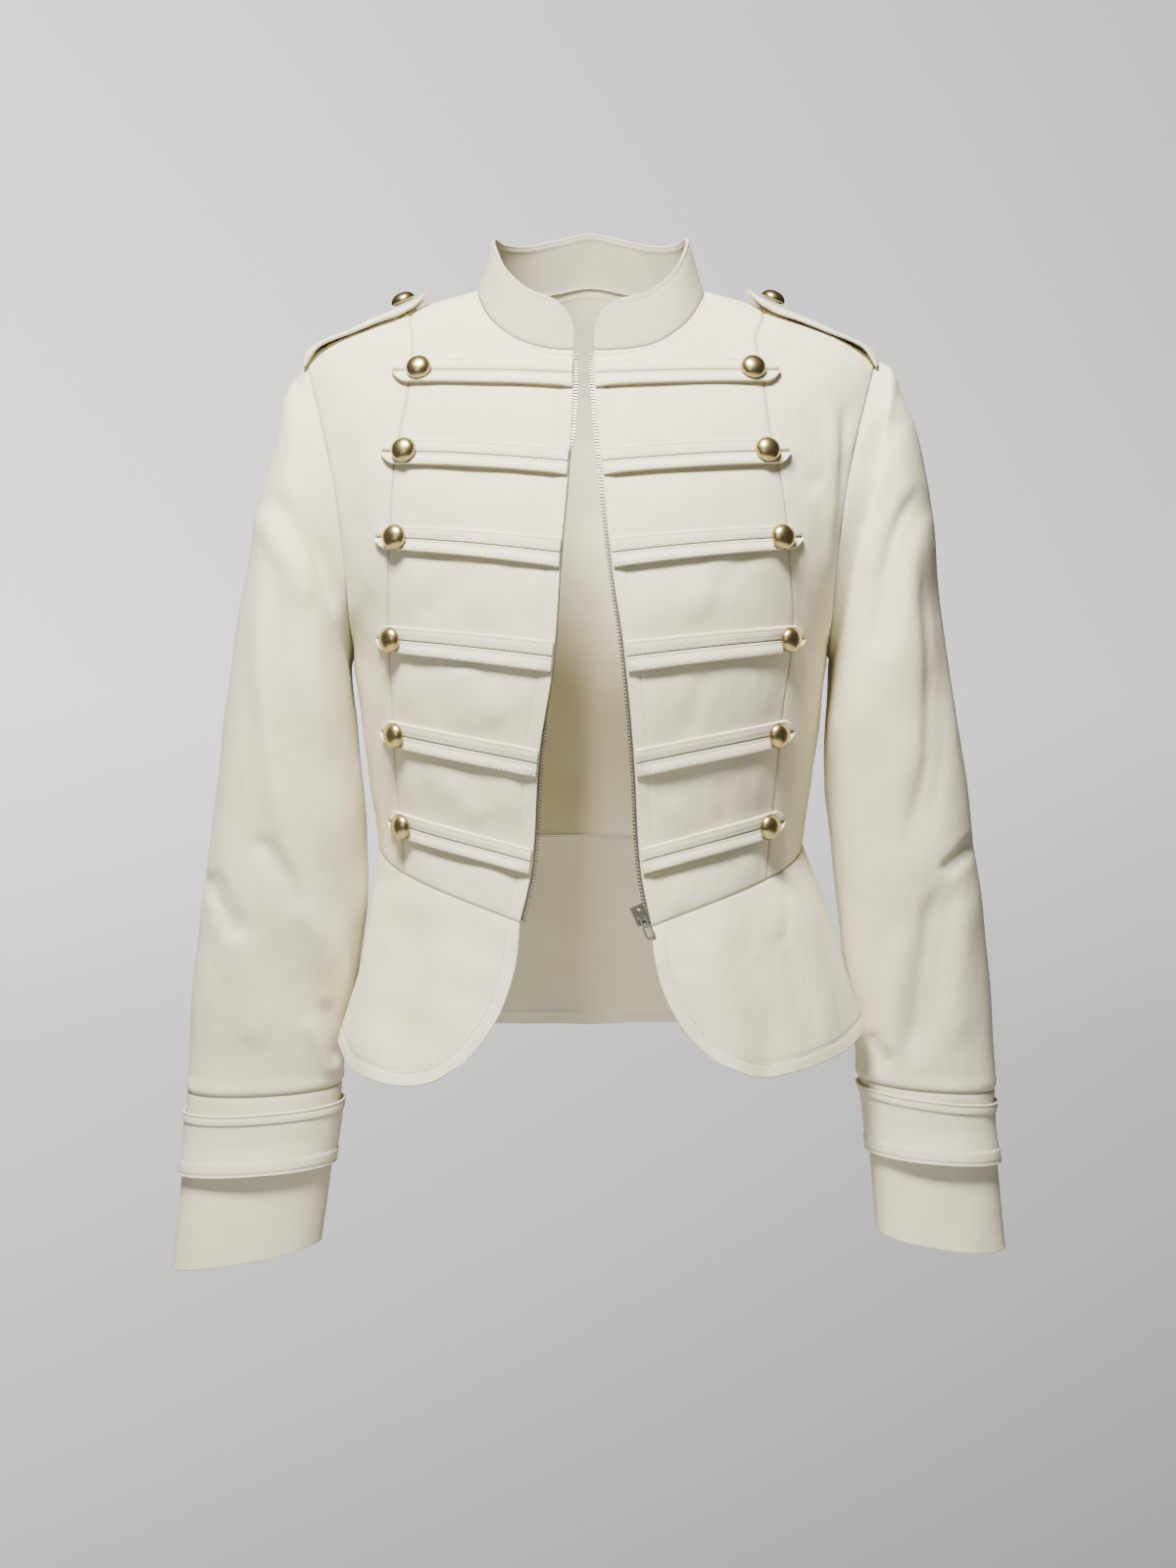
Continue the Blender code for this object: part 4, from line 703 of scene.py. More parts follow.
def ripple(p, size, seed):
    # slow unevenness of worn cloth, the same on every run
    dice = np.random.default_rng(seed)
    total = np.zeros(p.shape[:-1])
    for _ in range(7):
        way = unit(dice.normal(size=3))
        total += np.cos(p @ way * (2 * math.pi / (size * dice.uniform(0.7, 1.6))) + dice.uniform(0, 6.3))
    return total / 4


def dip(distance, width):
    # 1 on a line, down to nothing a width or two beside it
    return np.exp(-(distance / width) ** 2)


def pressedLine(p, path, look):
    return -look["stitchDepth"] * dip(nearLine(p, path)[0], look["stitchWidth"])


def edgeDistances(p):
    across, down = lengthAlong(p, 1), lengthAlong(p, 0)
    return {"left": across, "right": across[:, -1:] - across, "top": down, "foot": down[-1:] - down}


def rolledSeamsAndShade(away, sides, look):
    # cloth turns in at a seam, and shade is painted along it: the lift, and how much of a seam each point is,
    # which sets its painted shade
    lift = -look["rollDepth"] * sum(np.exp(-away[side] / look["rollWidth"]) for side in sides)
    return lift, np.maximum.reduce([np.exp(-away[side] / look["paintedShadeWidth"]) for side in sides])


def lineAcross(p, distance, fromFoot=False):
    # a line that keeps its distance from the top or foot edge of a grid
    down = edgeDistances(p)["foot" if fromFoot else "top"]
    found = []
    for c in range(p.shape[1]):
        order = np.argsort(down[:, c])
        found.append([np.interp(distance, down[order, c], p[order, c, k]) for k in range(3)])
    return np.array(found)


def lineDown(p, distance, fromRight=False):
    return lineAcross(np.swapaxes(p, 0, 1), distance, fromRight)


def onSheet(points, p, n):
    # puts points on a sheet, and gives the cloth's direction at each
    flat, normals = p.reshape(-1, 3), n.reshape(-1, 3)
    nearest = np.array([np.argmin(np.sum((flat - q) ** 2, axis=1)) for q in points])
    way = normals[nearest]
    lift = np.sum((flat[nearest] - points) * way, axis=1, keepdims=True)
    return points + way * lift, way


# Meshes of cloth with a real thickness

def newObject(name, data):
    obj = bpy.data.objects.new(name, data)
    bpy.context.scene.collection.objects.link(obj)
    return obj


def meshObject(name, vertices, faces, seam, loopUv=None):
    mesh = bpy.data.meshes.new(name)
    mesh.from_pydata(np.asarray(vertices).tolist(), [], faces)
    if loopUv is not None:
        mesh.uv_layers.new(name="cloth").data.foreach_set("uv", loopUv.reshape(-1))
    # the seam attribute holds painted shade: how much each point is darkened for shade in seams, grooves and
    # under edges
    mesh.attributes.new("seam", "FLOAT", "POINT").data.foreach_set("value", np.asarray(seam, np.float32))
    mesh.shade_smooth()
    return newObject(name, mesh)


# how far a rim bulges out, and the share of the painted shade that the inner face takes
shellLook = {"roundness": 0.22, "innerShade": 0.35}


def clothShell(name, outer, inner, seam, closed=False, dark=None):
    # outer and inner face with a rounded rim; a row or column may be named whose rim and underside get
    # painted shadow, and the inner face takes a share of the painted shade
    rows, cols = outer.shape[:2]
    count = rows * cols
    index = np.arange(count).reshape(rows, cols)
    wide = np.concatenate([index, index[:, :1]], axis=1) if closed else index
    a, b, c, d = wide[:-1, :-1], wide[:-1, 1:], wide[1:, 1:], wide[1:, :-1]
    outerFaces = np.stack([a, b, c, d], axis=-1)
    innerFaces = outerFaces[..., ::-1] + count
    if closed:
        loops = [np.append(index[0], index[0, 0]), np.append(index[-1], index[-1, 0])[::-1]]
    else:
        loops = [np.concatenate([index[0], index[1:, -1], index[-1, -2::-1], index[-2:0:-1, 0], [0]])]
    vertices = [outer.reshape(-1, 3), inner.reshape(-1, 3)]
    faces = [outerFaces.reshape(-1, 4), innerFaces.reshape(-1, 4)]
    source = [np.arange(count), np.arange(count)]
    flat, flatInner = vertices[0], vertices[1]
    start = 2 * count
    for loop in loops:
        edge = loop[:-1]
        r, k = edge // cols, edge % cols
        insideR = np.clip(r, 1, rows - 2)
        insideK = k if closed else np.clip(k, 1, cols - 2)
        out = unit(flat[edge] - outer[insideR, insideK])
        thickness = np.linalg.norm(flat[edge] - flatInner[edge], axis=-1, keepdims=True)
        vertices.append((flat[edge] + flatInner[edge]) / 2 + out * thickness * shellLook["roundness"])
        source.append(edge)
        m = start + np.arange(len(edge))
        m = np.append(m, m[0])
        p, q, pm, qm = loop[:-1], loop[1:], m[:-1], m[1:]
        faces.append(np.stack([q, p, pm, qm], axis=-1))
        faces.append(np.stack([qm, pm, p + count, q + count], axis=-1))
        start += len(edge)
    faces = np.concatenate(faces)
    mid = outer[rows // 2, cols // 2]
    turn = np.cross(outer[rows // 2, (cols // 2 + 1) % cols] - mid, outer[rows // 2 + 1, cols // 2] - mid)
    if np.dot(turn, mid - inner[rows // 2, cols // 2]) < 0:
        faces = faces[:, ::-1]
    source = np.concatenate(source)
    across, down = lengthAlong(outer, 1).reshape(-1), lengthAlong(outer, 0).reshape(-1)
    uv = np.stack([across, -down], axis=-1)[source]
    loopUv = uv[faces]
    if closed:
        whole = lengthAlong(outer, 1)[:, -1].mean()
        jump = (loopUv[..., 0].max(axis=1) - loopUv[..., 0].min(axis=1)) > whole / 2
        low = loopUv[..., 0] < whole / 2
        loopUv[..., 0] += np.where(jump[:, None] & low, whole, 0)
    # painted shade: as given on the outer face, full painted shadow on the named edge's rim and underside,
    # and a share of it on the inner face
    under = seam.copy()
    if dark is not None:
        under[dark] = 1.0
    under = under.reshape(-1)
    edges = np.concatenate([seam.reshape(-1), shellLook["innerShade"] * under, under[source[2 * count:]]])
    return meshObject(name, np.concatenate(vertices), faces.tolist(), edges, loopUv)


def finishPiece(obj, slotName, *nodes, finish=None):
    obj.data.materials.clear()
    obj.data.materials.append(finishes[finish or slotName])
    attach(obj, "jacket")
    if nodes:
        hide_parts(*nodes)


def makeCloth(name, outer, inner, seam, slotName, flat, area, held="draped", nodes=None, closed=False,
              dark=None):
    # a piece of cloth has the name of the solid that it replaces, unless it takes the place of several
    obj = clothShell(name + "_cloth", outer, inner, seam, closed, dark)
    finishPiece(obj, slotName, *(nodes or [name]))
    return outer, gridNormals(outer, closed)


def makeSheet(name, p, n, cloth, lift, *facts, **more):
    outer = p + n * lift[..., None]
    return makeCloth(name, outer, outer - n * cloth, *facts, **more)


# Repeated small parts

def setInputs(tree, node, inputs):
    for label, value in inputs.items():
        if isinstance(value, bpy.types.NodeSocket):
            tree.links.new(value, node.inputs[label])
        else:
            node.inputs[label].default_value = value
    return node


def addNode(tree, kind, inputs=None, **settings):
    # an input is linked if it is a socket, otherwise it is a fixed value
    node = tree.nodes.new(kind)
    for label, value in settings.items():
        setattr(node, label, value)
    return setInputs(tree, node, inputs or {})


commonInputs = {"Pitch": "Float", "Smallest": "Vector", "Largest": "Vector", "Seed": "Int",
                "Material": "Material"}


def newTree(name, inputs):
    tree = bpy.data.node_groups.new(name, "GeometryNodeTree")
    for label, kind in {"Lines": "Geometry", **commonInputs, **inputs}.items():
        tree.interface.new_socket(label, in_out="INPUT", socket_type="NodeSocket" + kind)
    tree.interface.new_socket("Result", in_out="OUTPUT", socket_type="NodeSocketGeometry")
    return tree, tree.nodes.new("NodeGroupInput").outputs


def placeAlong(tree, given, shape):
    # shape repeated along each line, x along it and z out of the cloth
    curve = addNode(tree, "GeometryNodeMeshToCurve", {"Mesh": given["Lines"]})
    points = addNode(tree, "GeometryNodeCurveToPoints", {
        "Curve": curve.outputs["Curve"], "Length": given["Pitch"],
    }, mode="LENGTH")
    cloth = addNode(tree, "GeometryNodeInputNamedAttribute", {"Name": "clothWay"}, data_type="FLOAT_VECTOR")
    turn = addNode(tree, "FunctionNodeAxesToRotation", {
        "Primary Axis": points.outputs["Tangent"], "Secondary Axis": cloth.outputs["Attribute"],
    }, primary_axis="X", secondary_axis="Z")
    vary = addNode(tree, "FunctionNodeRandomValue", {
        "Min": given["Smallest"], "Max": given["Largest"], "Seed": given["Seed"],
    }, data_type="FLOAT_VECTOR")
    put = addNode(tree, "GeometryNodeInstanceOnPoints", {
        "Points": points.outputs["Points"], "Rotation": turn.outputs["Rotation"],
        "Scale": vary.outputs["Value"], "Instance": shape,
    })
    real = addNode(tree, "GeometryNodeRealizeInstances", {"Geometry": put.outputs["Instances"]})
    paint = addNode(tree, "GeometryNodeSetMaterial", {
        "Geometry": real.outputs["Geometry"], "Material": given["Material"],
    })
    addNode(tree, "NodeGroupOutput", {"Result": paint.outputs["Geometry"]})
    return tree


def stitchTree():
    tree, given = newTree("sewnStitches", {"Thread": "Float", "Stretch": "Vector"})
    bead = addNode(tree, "GeometryNodeMeshUVSphere", {"Segments": 6, "Rings": 5, "Radius": given["Thread"]})
    long = addNode(tree, "GeometryNodeTransform", {
        "Geometry": bead.outputs["Mesh"], "Scale": given["Stretch"],
    })
    smooth = addNode(tree, "GeometryNodeSetShadeSmooth", {"Geometry": long.outputs["Geometry"]})
    return placeAlong(tree, given, smooth.outputs["Geometry"])


def toothTree():
    tree, given = newTree("zipTeeth", {"Root": "Vector", "Head": "Vector", "Head Shift": "Vector"})
    root = addNode(tree, "GeometryNodeMeshCube", {"Size": given["Root"]})
    head = addNode(tree, "GeometryNodeMeshCylinder", {"Vertices": 8, "Radius": 0.5, "Depth": 1.0})
    sized = addNode(tree, "GeometryNodeTransform", {
        "Geometry": head.outputs["Mesh"], "Scale": given["Head"], "Translation": given["Head Shift"],
    })
    both = addNode(tree, "GeometryNodeJoinGeometry", {"Geometry": root.outputs["Mesh"]})
    tree.links.new(sized.outputs["Geometry"], both.inputs["Geometry"])
    return placeAlong(tree, given, both.outputs["Geometry"])


def repeatAlong(name, tree, lines, values, finish, slotName):
    vertices, ways, edges = [], [], []
    for points, normals in lines:
        first = len(vertices)
        vertices += points.tolist()
        ways += normals.tolist()
        edges += [(i, i + 1) for i in range(first, len(vertices) - 1)]
    mesh = bpy.data.meshes.new(name + "_lines")
    mesh.from_pydata(vertices, edges, [])
    mesh.attributes.new("clothWay", "FLOAT_VECTOR", "POINT").data.foreach_set("vector", np.ravel(ways))
    holder = newObject(name + "_lines", mesh)
    modifier = holder.modifiers.new("repeat", "NODES")
    modifier.node_group = tree
    sockets = {item.name: item.identifier for item in tree.interface.items_tree if item.in_out == "INPUT"}
    for label, value in {**values, "Material": finishes[finish]}.items():
        modifier[sockets[label]] = value
    made = bpy.data.meshes.new_from_object(holder.evaluated_get(bpy.context.evaluated_depsgraph_get()))
    bpy.data.objects.remove(holder)
    made.name = name
    if "clothWay" in made.attributes:
        made.attributes.remove(made.attributes["clothWay"])
    finishPiece(newObject(name, made), slotName, finish=finish)


# Finishes

finishes = {}
clothLook = {
    # colour, ribs a metre, sheen, slack scale, slack depth
    "twill": ((0.785, 0.742, 0.570), 1500.0, 0.05, 42.0, 0.0064),
    # the collar is the same twill, painted darker as shade where less light falls on it
    "twill_collar": ((0.560, 0.522, 0.415), 1500.0, 0.05, 42.0, 0.0040),
    "twill_trim": ((0.800, 0.757, 0.592), 1500.0, 0.05, 170.0, 0.0016),
    # the tape is painted dark, as the shade among the teeth and behind the front edges
    "zip_tape": ((0.210, 0.200, 0.165), 900.0, 0.10, 120.0, 0.0010),
}
metalLook = {
    # bright colour, dull colour, roughness range, scratch size
    "satin_brass": ((0.60, 0.49, 0.24), (0.47, 0.38, 0.18), 0.25, 0.33, 900.0),
    "zip_metal": ((0.60, 0.585, 0.53), (0.33, 0.315, 0.27), 0.26, 0.42, 1400.0),
    # the teeth take the zip metal painted darker: partly its antique tone, partly painted shade
    "zip_teeth": ((0.34, 0.325, 0.28), (0.16, 0.15, 0.125), 0.34, 0.52, 1400.0),
}
weaveLook = {
    # ribs lean this many degrees; a wave's scale is 20 to the turn
    "lean": 63, "wave": 2 * math.pi / 20, "crossThreads": 1.35, "threadScale": 2600.0, "cloudScale": 11.0,
    "patchScale": 47.0, "deep": 0.86, "warm": (1.035, 1.00, 0.955), "cool": (0.975, 1.00, 1.015),
    # how dark the painted shade along seams and edges makes the colour, and how strongly it is mixed in
    "paintedShadeTone": 0.40, "paintedShadeShare": 0.74, "roughness": (0.76, 0.94), "hang": (1.0, 1.0, 0.45),
}


def startFinish(name):
    material = bpy.data.materials.new(name)
    material.use_nodes = True
    tree = material.node_tree
    place = addNode(tree, "ShaderNodeTexCoord").outputs["Object"]
    return material, tree, tree.nodes["Principled BSDF"], place


def mixColours(tree, share, first, second):
    first, second = ((*value, 1.0) if isinstance(value, tuple) else value for value in (first, second))
    return addNode(tree, "ShaderNodeMix", {0: share, 6: first, 7: second}, data_type="RGBA").outputs[2]


def scaled(tree, value, low, high, fromLow=0.0, fromHigh=1.0):
    return addNode(tree, "ShaderNodeMapRange", {
        "Value": value, "From Min": fromLow, "From Max": fromHigh, "To Min": low, "To Max": high,
    }).outputs["Result"]


def maths(tree, operation, first, second):
    return addNode(tree, "ShaderNodeMath", {0: first, 1: second}, operation=operation).outputs[0]


def noise(tree, where, size, detail=2.0):
    node = addNode(tree, "ShaderNodeTexNoise", {"Vector": where, "Scale": size, "Detail": detail})
    return node.outputs["Fac"]


def bumped(tree, height, strength, distance, **under):
    return addNode(tree, "ShaderNodeBump", {
        "Height": height, "Strength": strength, "Distance": distance, **under,
    }).outputs["Normal"]


# the strength of the painted shade at each point, read from the mesh's seam attribute
def paintedShadeOf(tree):
    return addNode(tree, "ShaderNodeAttribute", attribute_name="seam").outputs["Fac"]


def times(colour, factors):
    return tuple(float(c) for c in np.array(colour) * factors)


def weaveFinish(name, colour, ribs, sheen, slackScale, slackDepth):
    # twill: diagonal ribs crossed by threads, faint mottling, painted shade along seams, grooves and shaded
    # edges, and a slow slackness
    look = weaveLook
    material, tree, shader, place = startFinish(name)
    uv = addNode(tree, "ShaderNodeUVMap", uv_map="cloth").outputs["UV"]
    lean = addNode(tree, "ShaderNodeMapping", {"Vector": uv, "Rotation": (0, 0, math.radians(look["lean"]))})
    rib = addNode(tree, "ShaderNodeTexWave", {
        "Vector": lean.outputs["Vector"], "Scale": ribs * look["wave"], "Distortion": 0.6, "Detail": 1.0,
        "Detail Scale": 0.4,
    }).outputs["Fac"]
    cross = addNode(tree, "ShaderNodeTexWave", {
        "Vector": uv, "Scale": ribs * look["crossThreads"] * look["wave"],
    }, bands_direction="Y").outputs["Fac"]
    threads = noise(tree, uv, look["threadScale"], 3.0)
    cloud = scaled(tree, noise(tree, place, look["cloudScale"], 3.0), 0.0, 1.0, 0.32, 0.68)
    patch = scaled(tree, noise(tree, place, look["patchScale"], 4.0), 0.0, 0.22, 0.35, 0.7)
    grain = scaled(tree, maths(tree, "MULTIPLY", rib, threads), 0.20, 0.0, 0.1, 0.6)
    tone = mixColours(tree, cloud, times(colour, look["cool"]), times(colour, look["warm"]))
    tone = mixColours(tree, patch, tone, times(colour, look["deep"]))
    tone = mixColours(tree, grain, tone, times(colour, look["deep"]))
    # painted shade: the colour goes towards a darker copy of itself where seams, grooves and shaded edges are
    # marked
    seam = scaled(tree, paintedShadeOf(tree), 0.0, look["paintedShadeShare"])
    tone = mixColours(tree, seam, tone, times(colour, look["paintedShadeTone"]))
    relief = maths(tree, "ADD", maths(tree, "MULTIPLY", rib, 0.6), maths(tree, "MULTIPLY", threads, 0.7))
    relief = maths(tree, "ADD", relief, maths(tree, "MULTIPLY", cross, 0.25))
    hang = addNode(tree, "ShaderNodeMapping", {"Vector": place, "Scale": look["hang"]}).outputs["Vector"]
    slack = bumped(tree, noise(tree, hang, slackScale, 3.0), 0.30, slackDepth)
    setInputs(tree, shader, {
        "Base Color": tone, "Roughness": scaled(tree, threads, *look["roughness"]),
        "Specular IOR Level": 0.28, "Sheen Weight": sheen, "Sheen Roughness": 0.45,
        "Normal": bumped(tree, relief, 0.30, 0.00025, Normal=slack),
    })
    return material


def shadedThreadFinish():
    material, tree, shader, place = startFinish("sewingThreadPaintedShade")
    # the thread is painted darker than the cloth, as the shade among the stitches and in their holes
    tone = mixColours(tree, noise(tree, place, 3000.0), (0.57, 0.54, 0.44), (0.72, 0.69, 0.58))
    setInputs(tree, shader, {"Base Color": tone, "Roughness": 0.6, "Sheen Weight": 0.3})
    return material


def metalFinish(name, bright, dull, low, high, grainSize):
    # satin metal: cloudy polish, fine scratches, and painted shade where the seam attribute marks rims and
    # undersides
    material, tree, shader, place = startFinish(name)
    fine = noise(tree, place, grainSize, 4.0)
    cloud = scaled(tree, noise(tree, place, 90.0, 1.0), 0.0, 0.40, 0.25, 0.8)
    tone = mixColours(tree, cloud, bright, dull)
    tone = mixColours(tree, scaled(tree, paintedShadeOf(tree), 0.0, 0.75), tone, times(dull, 0.55))
    setInputs(tree, shader, {
        "Base Color": tone, "Roughness": scaled(tree, fine, low, high, 0.3, 0.7), "Metallic": 1.0,
        "Normal": bumped(tree, fine, 0.05, 0.0002),
    })
    return material


def makeFinishes():
    for name, look in clothLook.items():
        finishes[name] = weaveFinish(name, *look)
    finishes["thread"] = shadedThreadFinish()
    for name, look in metalLook.items():
        finishes[name] = metalFinish(name, *look)
    print("finishes made:", len(finishes))


# Bodice

bodice = {
    "cloth": 0.0018, "rowCount": 150, "near": (0.0004, 0.0010, 0.0018, 0.0030), "rollDepth": 0.0009,
    "rollWidth": 0.0011, "paintedShadeWidth": 0.0008, "frontEdgeShade": 0.1, "rippleHeight": 0.0006, "rippleSize": 0.040,
    "calm": 0.014, "puff": 0.0011, "puffFade": 0.02, "stitchDepth": 0.0004, "stitchWidth": 0.0011,
    "frontStitch": 0.0086, "neckStitch": 0.0050, "frontColumns": 40, "sideColumns": 24, "backColumns": 84,
    "frontNear": (0.0005, 0.0012, 0.0022, 0.0040, 0.0060, 0.0072, 0.0080, 0.0086, 0.0092, 0.0100, 0.0112),
    "shoulderColumns": (1, 9), "shoulderInset": 0.003,
    "folds": {
        "front": (
            (0.009, -0.0016, 0, (0.078, -0.218), (0.098, -0.185), (0.112, -0.172)),
            (0.008, 0.0012, 0, (0.060, -0.235), (0.083, -0.200), (0.100, -0.180)),
            (0.010, -0.0012, 0, (-0.112, -0.235), (-0.084, -0.205), (-0.060, -0.200)),
            (0.009, 0.0012, 0, (-0.085, -0.260), (-0.065, -0.285), (-0.055, -0.300)),
            (0.007, -0.0012, 0, (0.075, -0.262), (0.066, -0.290), (0.060, -0.310)),
            (0.006, 0.0010, 0, (0.052, -0.345), (0.057, -0.365), (0.060, -0.378)),
            (0.006, -0.0010, 0, (0.085, -0.330), (0.088, -0.350), (0.086, -0.368)),
            (0.008, 0.0010, 0, (-0.095, -0.335), (-0.080, -0.350), (-0.065, -0.362)),
            (0.0035, -0.0022, 0, (0.1690, -0.076), (0.1683, -0.110), (0.1680, -0.150), (0.1670, -0.210)),
            (0.0060, 0.0016, 0, (0.1610, -0.076), (0.1600, -0.110), (0.1590, -0.150), (0.1570, -0.210)),
            (0.008, -0.0016, 0, (0.128, -0.128), (0.140, -0.138), (0.152, -0.146)),
            (0.010, 0.0014, 0, (0.135, -0.200), (0.150, -0.235), (0.160, -0.270)),
            (0.009, -0.0012, 0, (-0.168, -0.100), (-0.160, -0.140), (-0.152, -0.180)),
        ),
        "back": (
            (0.018, 0.0012, 0, (0.070, 0.000), (0.075, -0.150), (0.050, -0.300)),
            (0.014, -0.0014, 0, (-0.120, -0.080), (-0.080, -0.130), (-0.030, -0.150)),
            (0.014, -0.0014, 0, (0.115, -0.090), (0.070, -0.140), (0.020, -0.165)),
            (0.010, 0.0012, 0, (-0.100, -0.300), (-0.050, -0.325), (0.010, -0.330)),
        ),
    },
}
stitchLines = {}


def bodiceRows():
    # heights of the rows along the princess line, shared by every bodice panel
    knots = lengthAlong(np.array([princessPoint(row, 1) for row in range(cut["waistRow"] + 1)]))
    return knots, stations(knots[-1], bodice["rowCount"], bodice["near"], bodice["near"])


def bodiceLift(p, n, sides, seed):
    away = edgeDistances(p)
    lift = foldLift(p, n, bodice["folds"]) + bodice["rippleHeight"] * ripple(p, bodice["rippleSize"], seed)
    lift *= np.minimum.reduce([smoothStep(away[side], 0.0, bodice["calm"]) for side in away])
    roll, seam = rolledSeamsAndShade(away, sides, bodice)
    return lift + roll, seam


def tabPuff(knots, rowAt, p):
    # cloth pushed up a little between one tab and the next
    puff = np.zeros(p.shape[:2])
    rows = cut["tabRows"]
    away = edgeDistances(p)
    side = smoothStep(away["left"], 0, bodice["puffFade"]) * smoothStep(away["right"], 0, bodice["puffFade"])
    for a, b in zip(rows, (*rows[1:], cut["waistRow"])):
        t = np.clip((rowAt - knots[a + 1]) / (knots[b] - knots[a + 1]), 0, 1)
        puff += bodice["puff"] * np.sin(np.pi * t)[:, None] * side
    return puff


def sewLine(group, points, p, n, rise=0.00018, smooth=0):
    where, way = onSheet(points, p, n)
    for _ in range(smooth):
        where[1:-1] = (where[:-2] + 2 * where[1:-1] + where[2:]) / 4
        way[1:-1] = unit(way[:-2] + way[1:-1] + way[2:])
    stitchLines.setdefault(group, []).append((where + way * rise, way))


def buildFront(side, knots, rowAt):
    p = sheetGrid(frontGrid(side), knots, rowAt, bodice["frontColumns"], bodice["frontNear"], bodice["near"],
                  (collarCut["neckColumns"] - 1,), cut["tabRows"][0])
    n = gridNormals(p)
    lift, seam = bodiceLift(p, n, ("right", "foot", "top"), 5 + side)
    lift += tabPuff(knots, rowAt, p)
    edgeLine = lineDown(p, bodice["frontStitch"])
    neckStop = int(np.argmin(np.abs(p[0, :, 1])))
    neckSewn = lineAcross(p, bodice["neckStitch"])[:neckStop]
    for line in (edgeLine, neckSewn):
        lift += pressedLine(p, line, bodice)
    # painted shade along the front edge
    frontEdge = np.exp(-edgeDistances(p)["left"] / bodice["paintedShadeWidth"])
    seam = np.maximum(seam, bodice["frontEdgeShade"] * frontEdge)
    name = f"front_{sideWord[side]}"
    p2, n2 = makeSheet(name, p, n, bodice["cloth"], lift, seam, "twill", (0.150, 0.420), 0.047)
    sewLine(name, neckSewn[2:], p2, n2)
    return p2, n2, edgeLine


def buildSidePanels(side, knots, rowAt):
    for name, grid, flat, area, seed in (("side_front", sideFrontGrid, (0.105, 0.400), 0.030, 11),
                                         ("side_back", sideBackGrid, (0.100, 0.400), 0.027, 17)):
        p = sheetGrid(grid(side), knots, rowAt, bodice["sideColumns"], bodice["near"], bodice["near"])
        n = gridNormals(p)
        lift, seam = bodiceLift(p, n, ("left", "right", "foot", "top"), seed + side)
        makeSheet(f"{name}_{sideWord[side]}", p, n, bodice["cloth"], lift, seam, "twill", flat, area)


def buildBack(knots, rowAt):
    p = sheetGrid(backGrid(), knots, rowAt, bodice["backColumns"], bodice["near"], bodice["near"],
                  bodice["shoulderColumns"], cut["tabRows"][0])
    n = gridNormals(p)
    lift, seam = bodiceLift(p, n, ("left", "right", "foot", "top"), 23)
    underCollar = np.abs(p[0, :, 0]) < cut["neckHalfWidth"] - bodice["shoulderInset"]
    neck = lineAcross(p, bodice["neckStitch"])[underCollar]
    lift += pressedLine(p, neck, bodice)
    p2, n2 = makeSheet("back", p, n, bodice["cloth"], lift, seam, "twill", (0.320, 0.420), 0.108)
    sewLine("back", neck, p2, n2)


# Stand collar

collarLook = {
    "cloth": 0.0022, "columns": 190, "rows": 14, "topStitch": 0.0034, "stitchDepth": 0.0004,
    "stitchWidth": 0.0010, "rollDepth": 0.0007, "rollWidth": 0.0010, "paintedShadeWidth": 0.0009, "seam": 0.8,
    "rippleHeight": 0.00035, "rippleSize": 0.05, "sewnFrom": 0.0012,
    "near": (0.0005, 0.0012, 0.0020, 0.0027, 0.0034, 0.0041, 0.0050, 0.0065, 0.0085, 0.0110, 0.0135, 0.0160,
             0.0185, 0.0210),
}


def buildCollar():
    look = collarLook
    coarse = collarBase()
    knots = lengthAlong(coarse)
    whole = knots[-1]
    at = stations(whole, look["columns"], look["near"], look["near"])
    base = splineAt(coarse, knots, at)

    def fullHeight(foot):
        back = np.maximum(0.0, foot[:, 1] / cut["neckBack"])
        return collarCut["sideHeight"] + (collarCut["backHeight"] - collarCut["sideHeight"]) * back

    def place(foot, rise):
        lean = 1 - collarCut["lean"] * rise / fullHeight(foot)
        return xyz(foot[:, 0] * lean, foot[:, 1] * lean, foot[:, 2] + rise)

    cornerReach = np.clip(1 - np.minimum(at, whole - at) / collarCut["cornerWidth"], 0, 1)
    height = fullHeight(base) - collarCut["cornerHeight"] * (1 - np.sqrt(1 - cornerReach ** 2))
    shares = np.concatenate([[0, 0.015, 0.035, 0.07], np.linspace(0.12, 0.84, look["rows"]),
                             [0.875, 0.90, 0.925, 0.95, 0.97, 0.985, 1.0]])
    p = np.array([place(base, height * share) for share in shares])
    n = gridNormals(p)
    outline = np.concatenate([[[0.0, 0.0]], np.stack([at, height], axis=-1), [[whole, 0.0]]])
    tangent = unit(np.gradient(outline, axis=0))
    sewn = outline + np.stack([tangent[:, 1], -tangent[:, 0]], axis=-1) * look["topStitch"]
    sewn = sewn[(sewn[:, 1] > look["sewnFrom"]) & (sewn[:, 0] > 0) & (sewn[:, 0] < whole)]
    sewnLine = place(splineAt(coarse, knots, sewn[:, 0]), sewn[:, 1])
    away = edgeDistances(p)
    roll, seam = rolledSeamsAndShade(away, ("top",), look)
    lift = look["rippleHeight"] * ripple(p, look["rippleSize"], 31) * smoothStep(away["top"], 0, 0.01) + roll
    lift += pressedLine(p, sewnLine, look)
    # painted shade along the top edge, at the collar's share
    p2, n2 = makeSheet("collar", p, n, look["cloth"], lift, look["seam"] * seam, "twill_collar",
                       (0.425, 0.038), 0.0156, held="stretched")
    sewLine("collar", sewnLine, p2, n2)


# Peplum

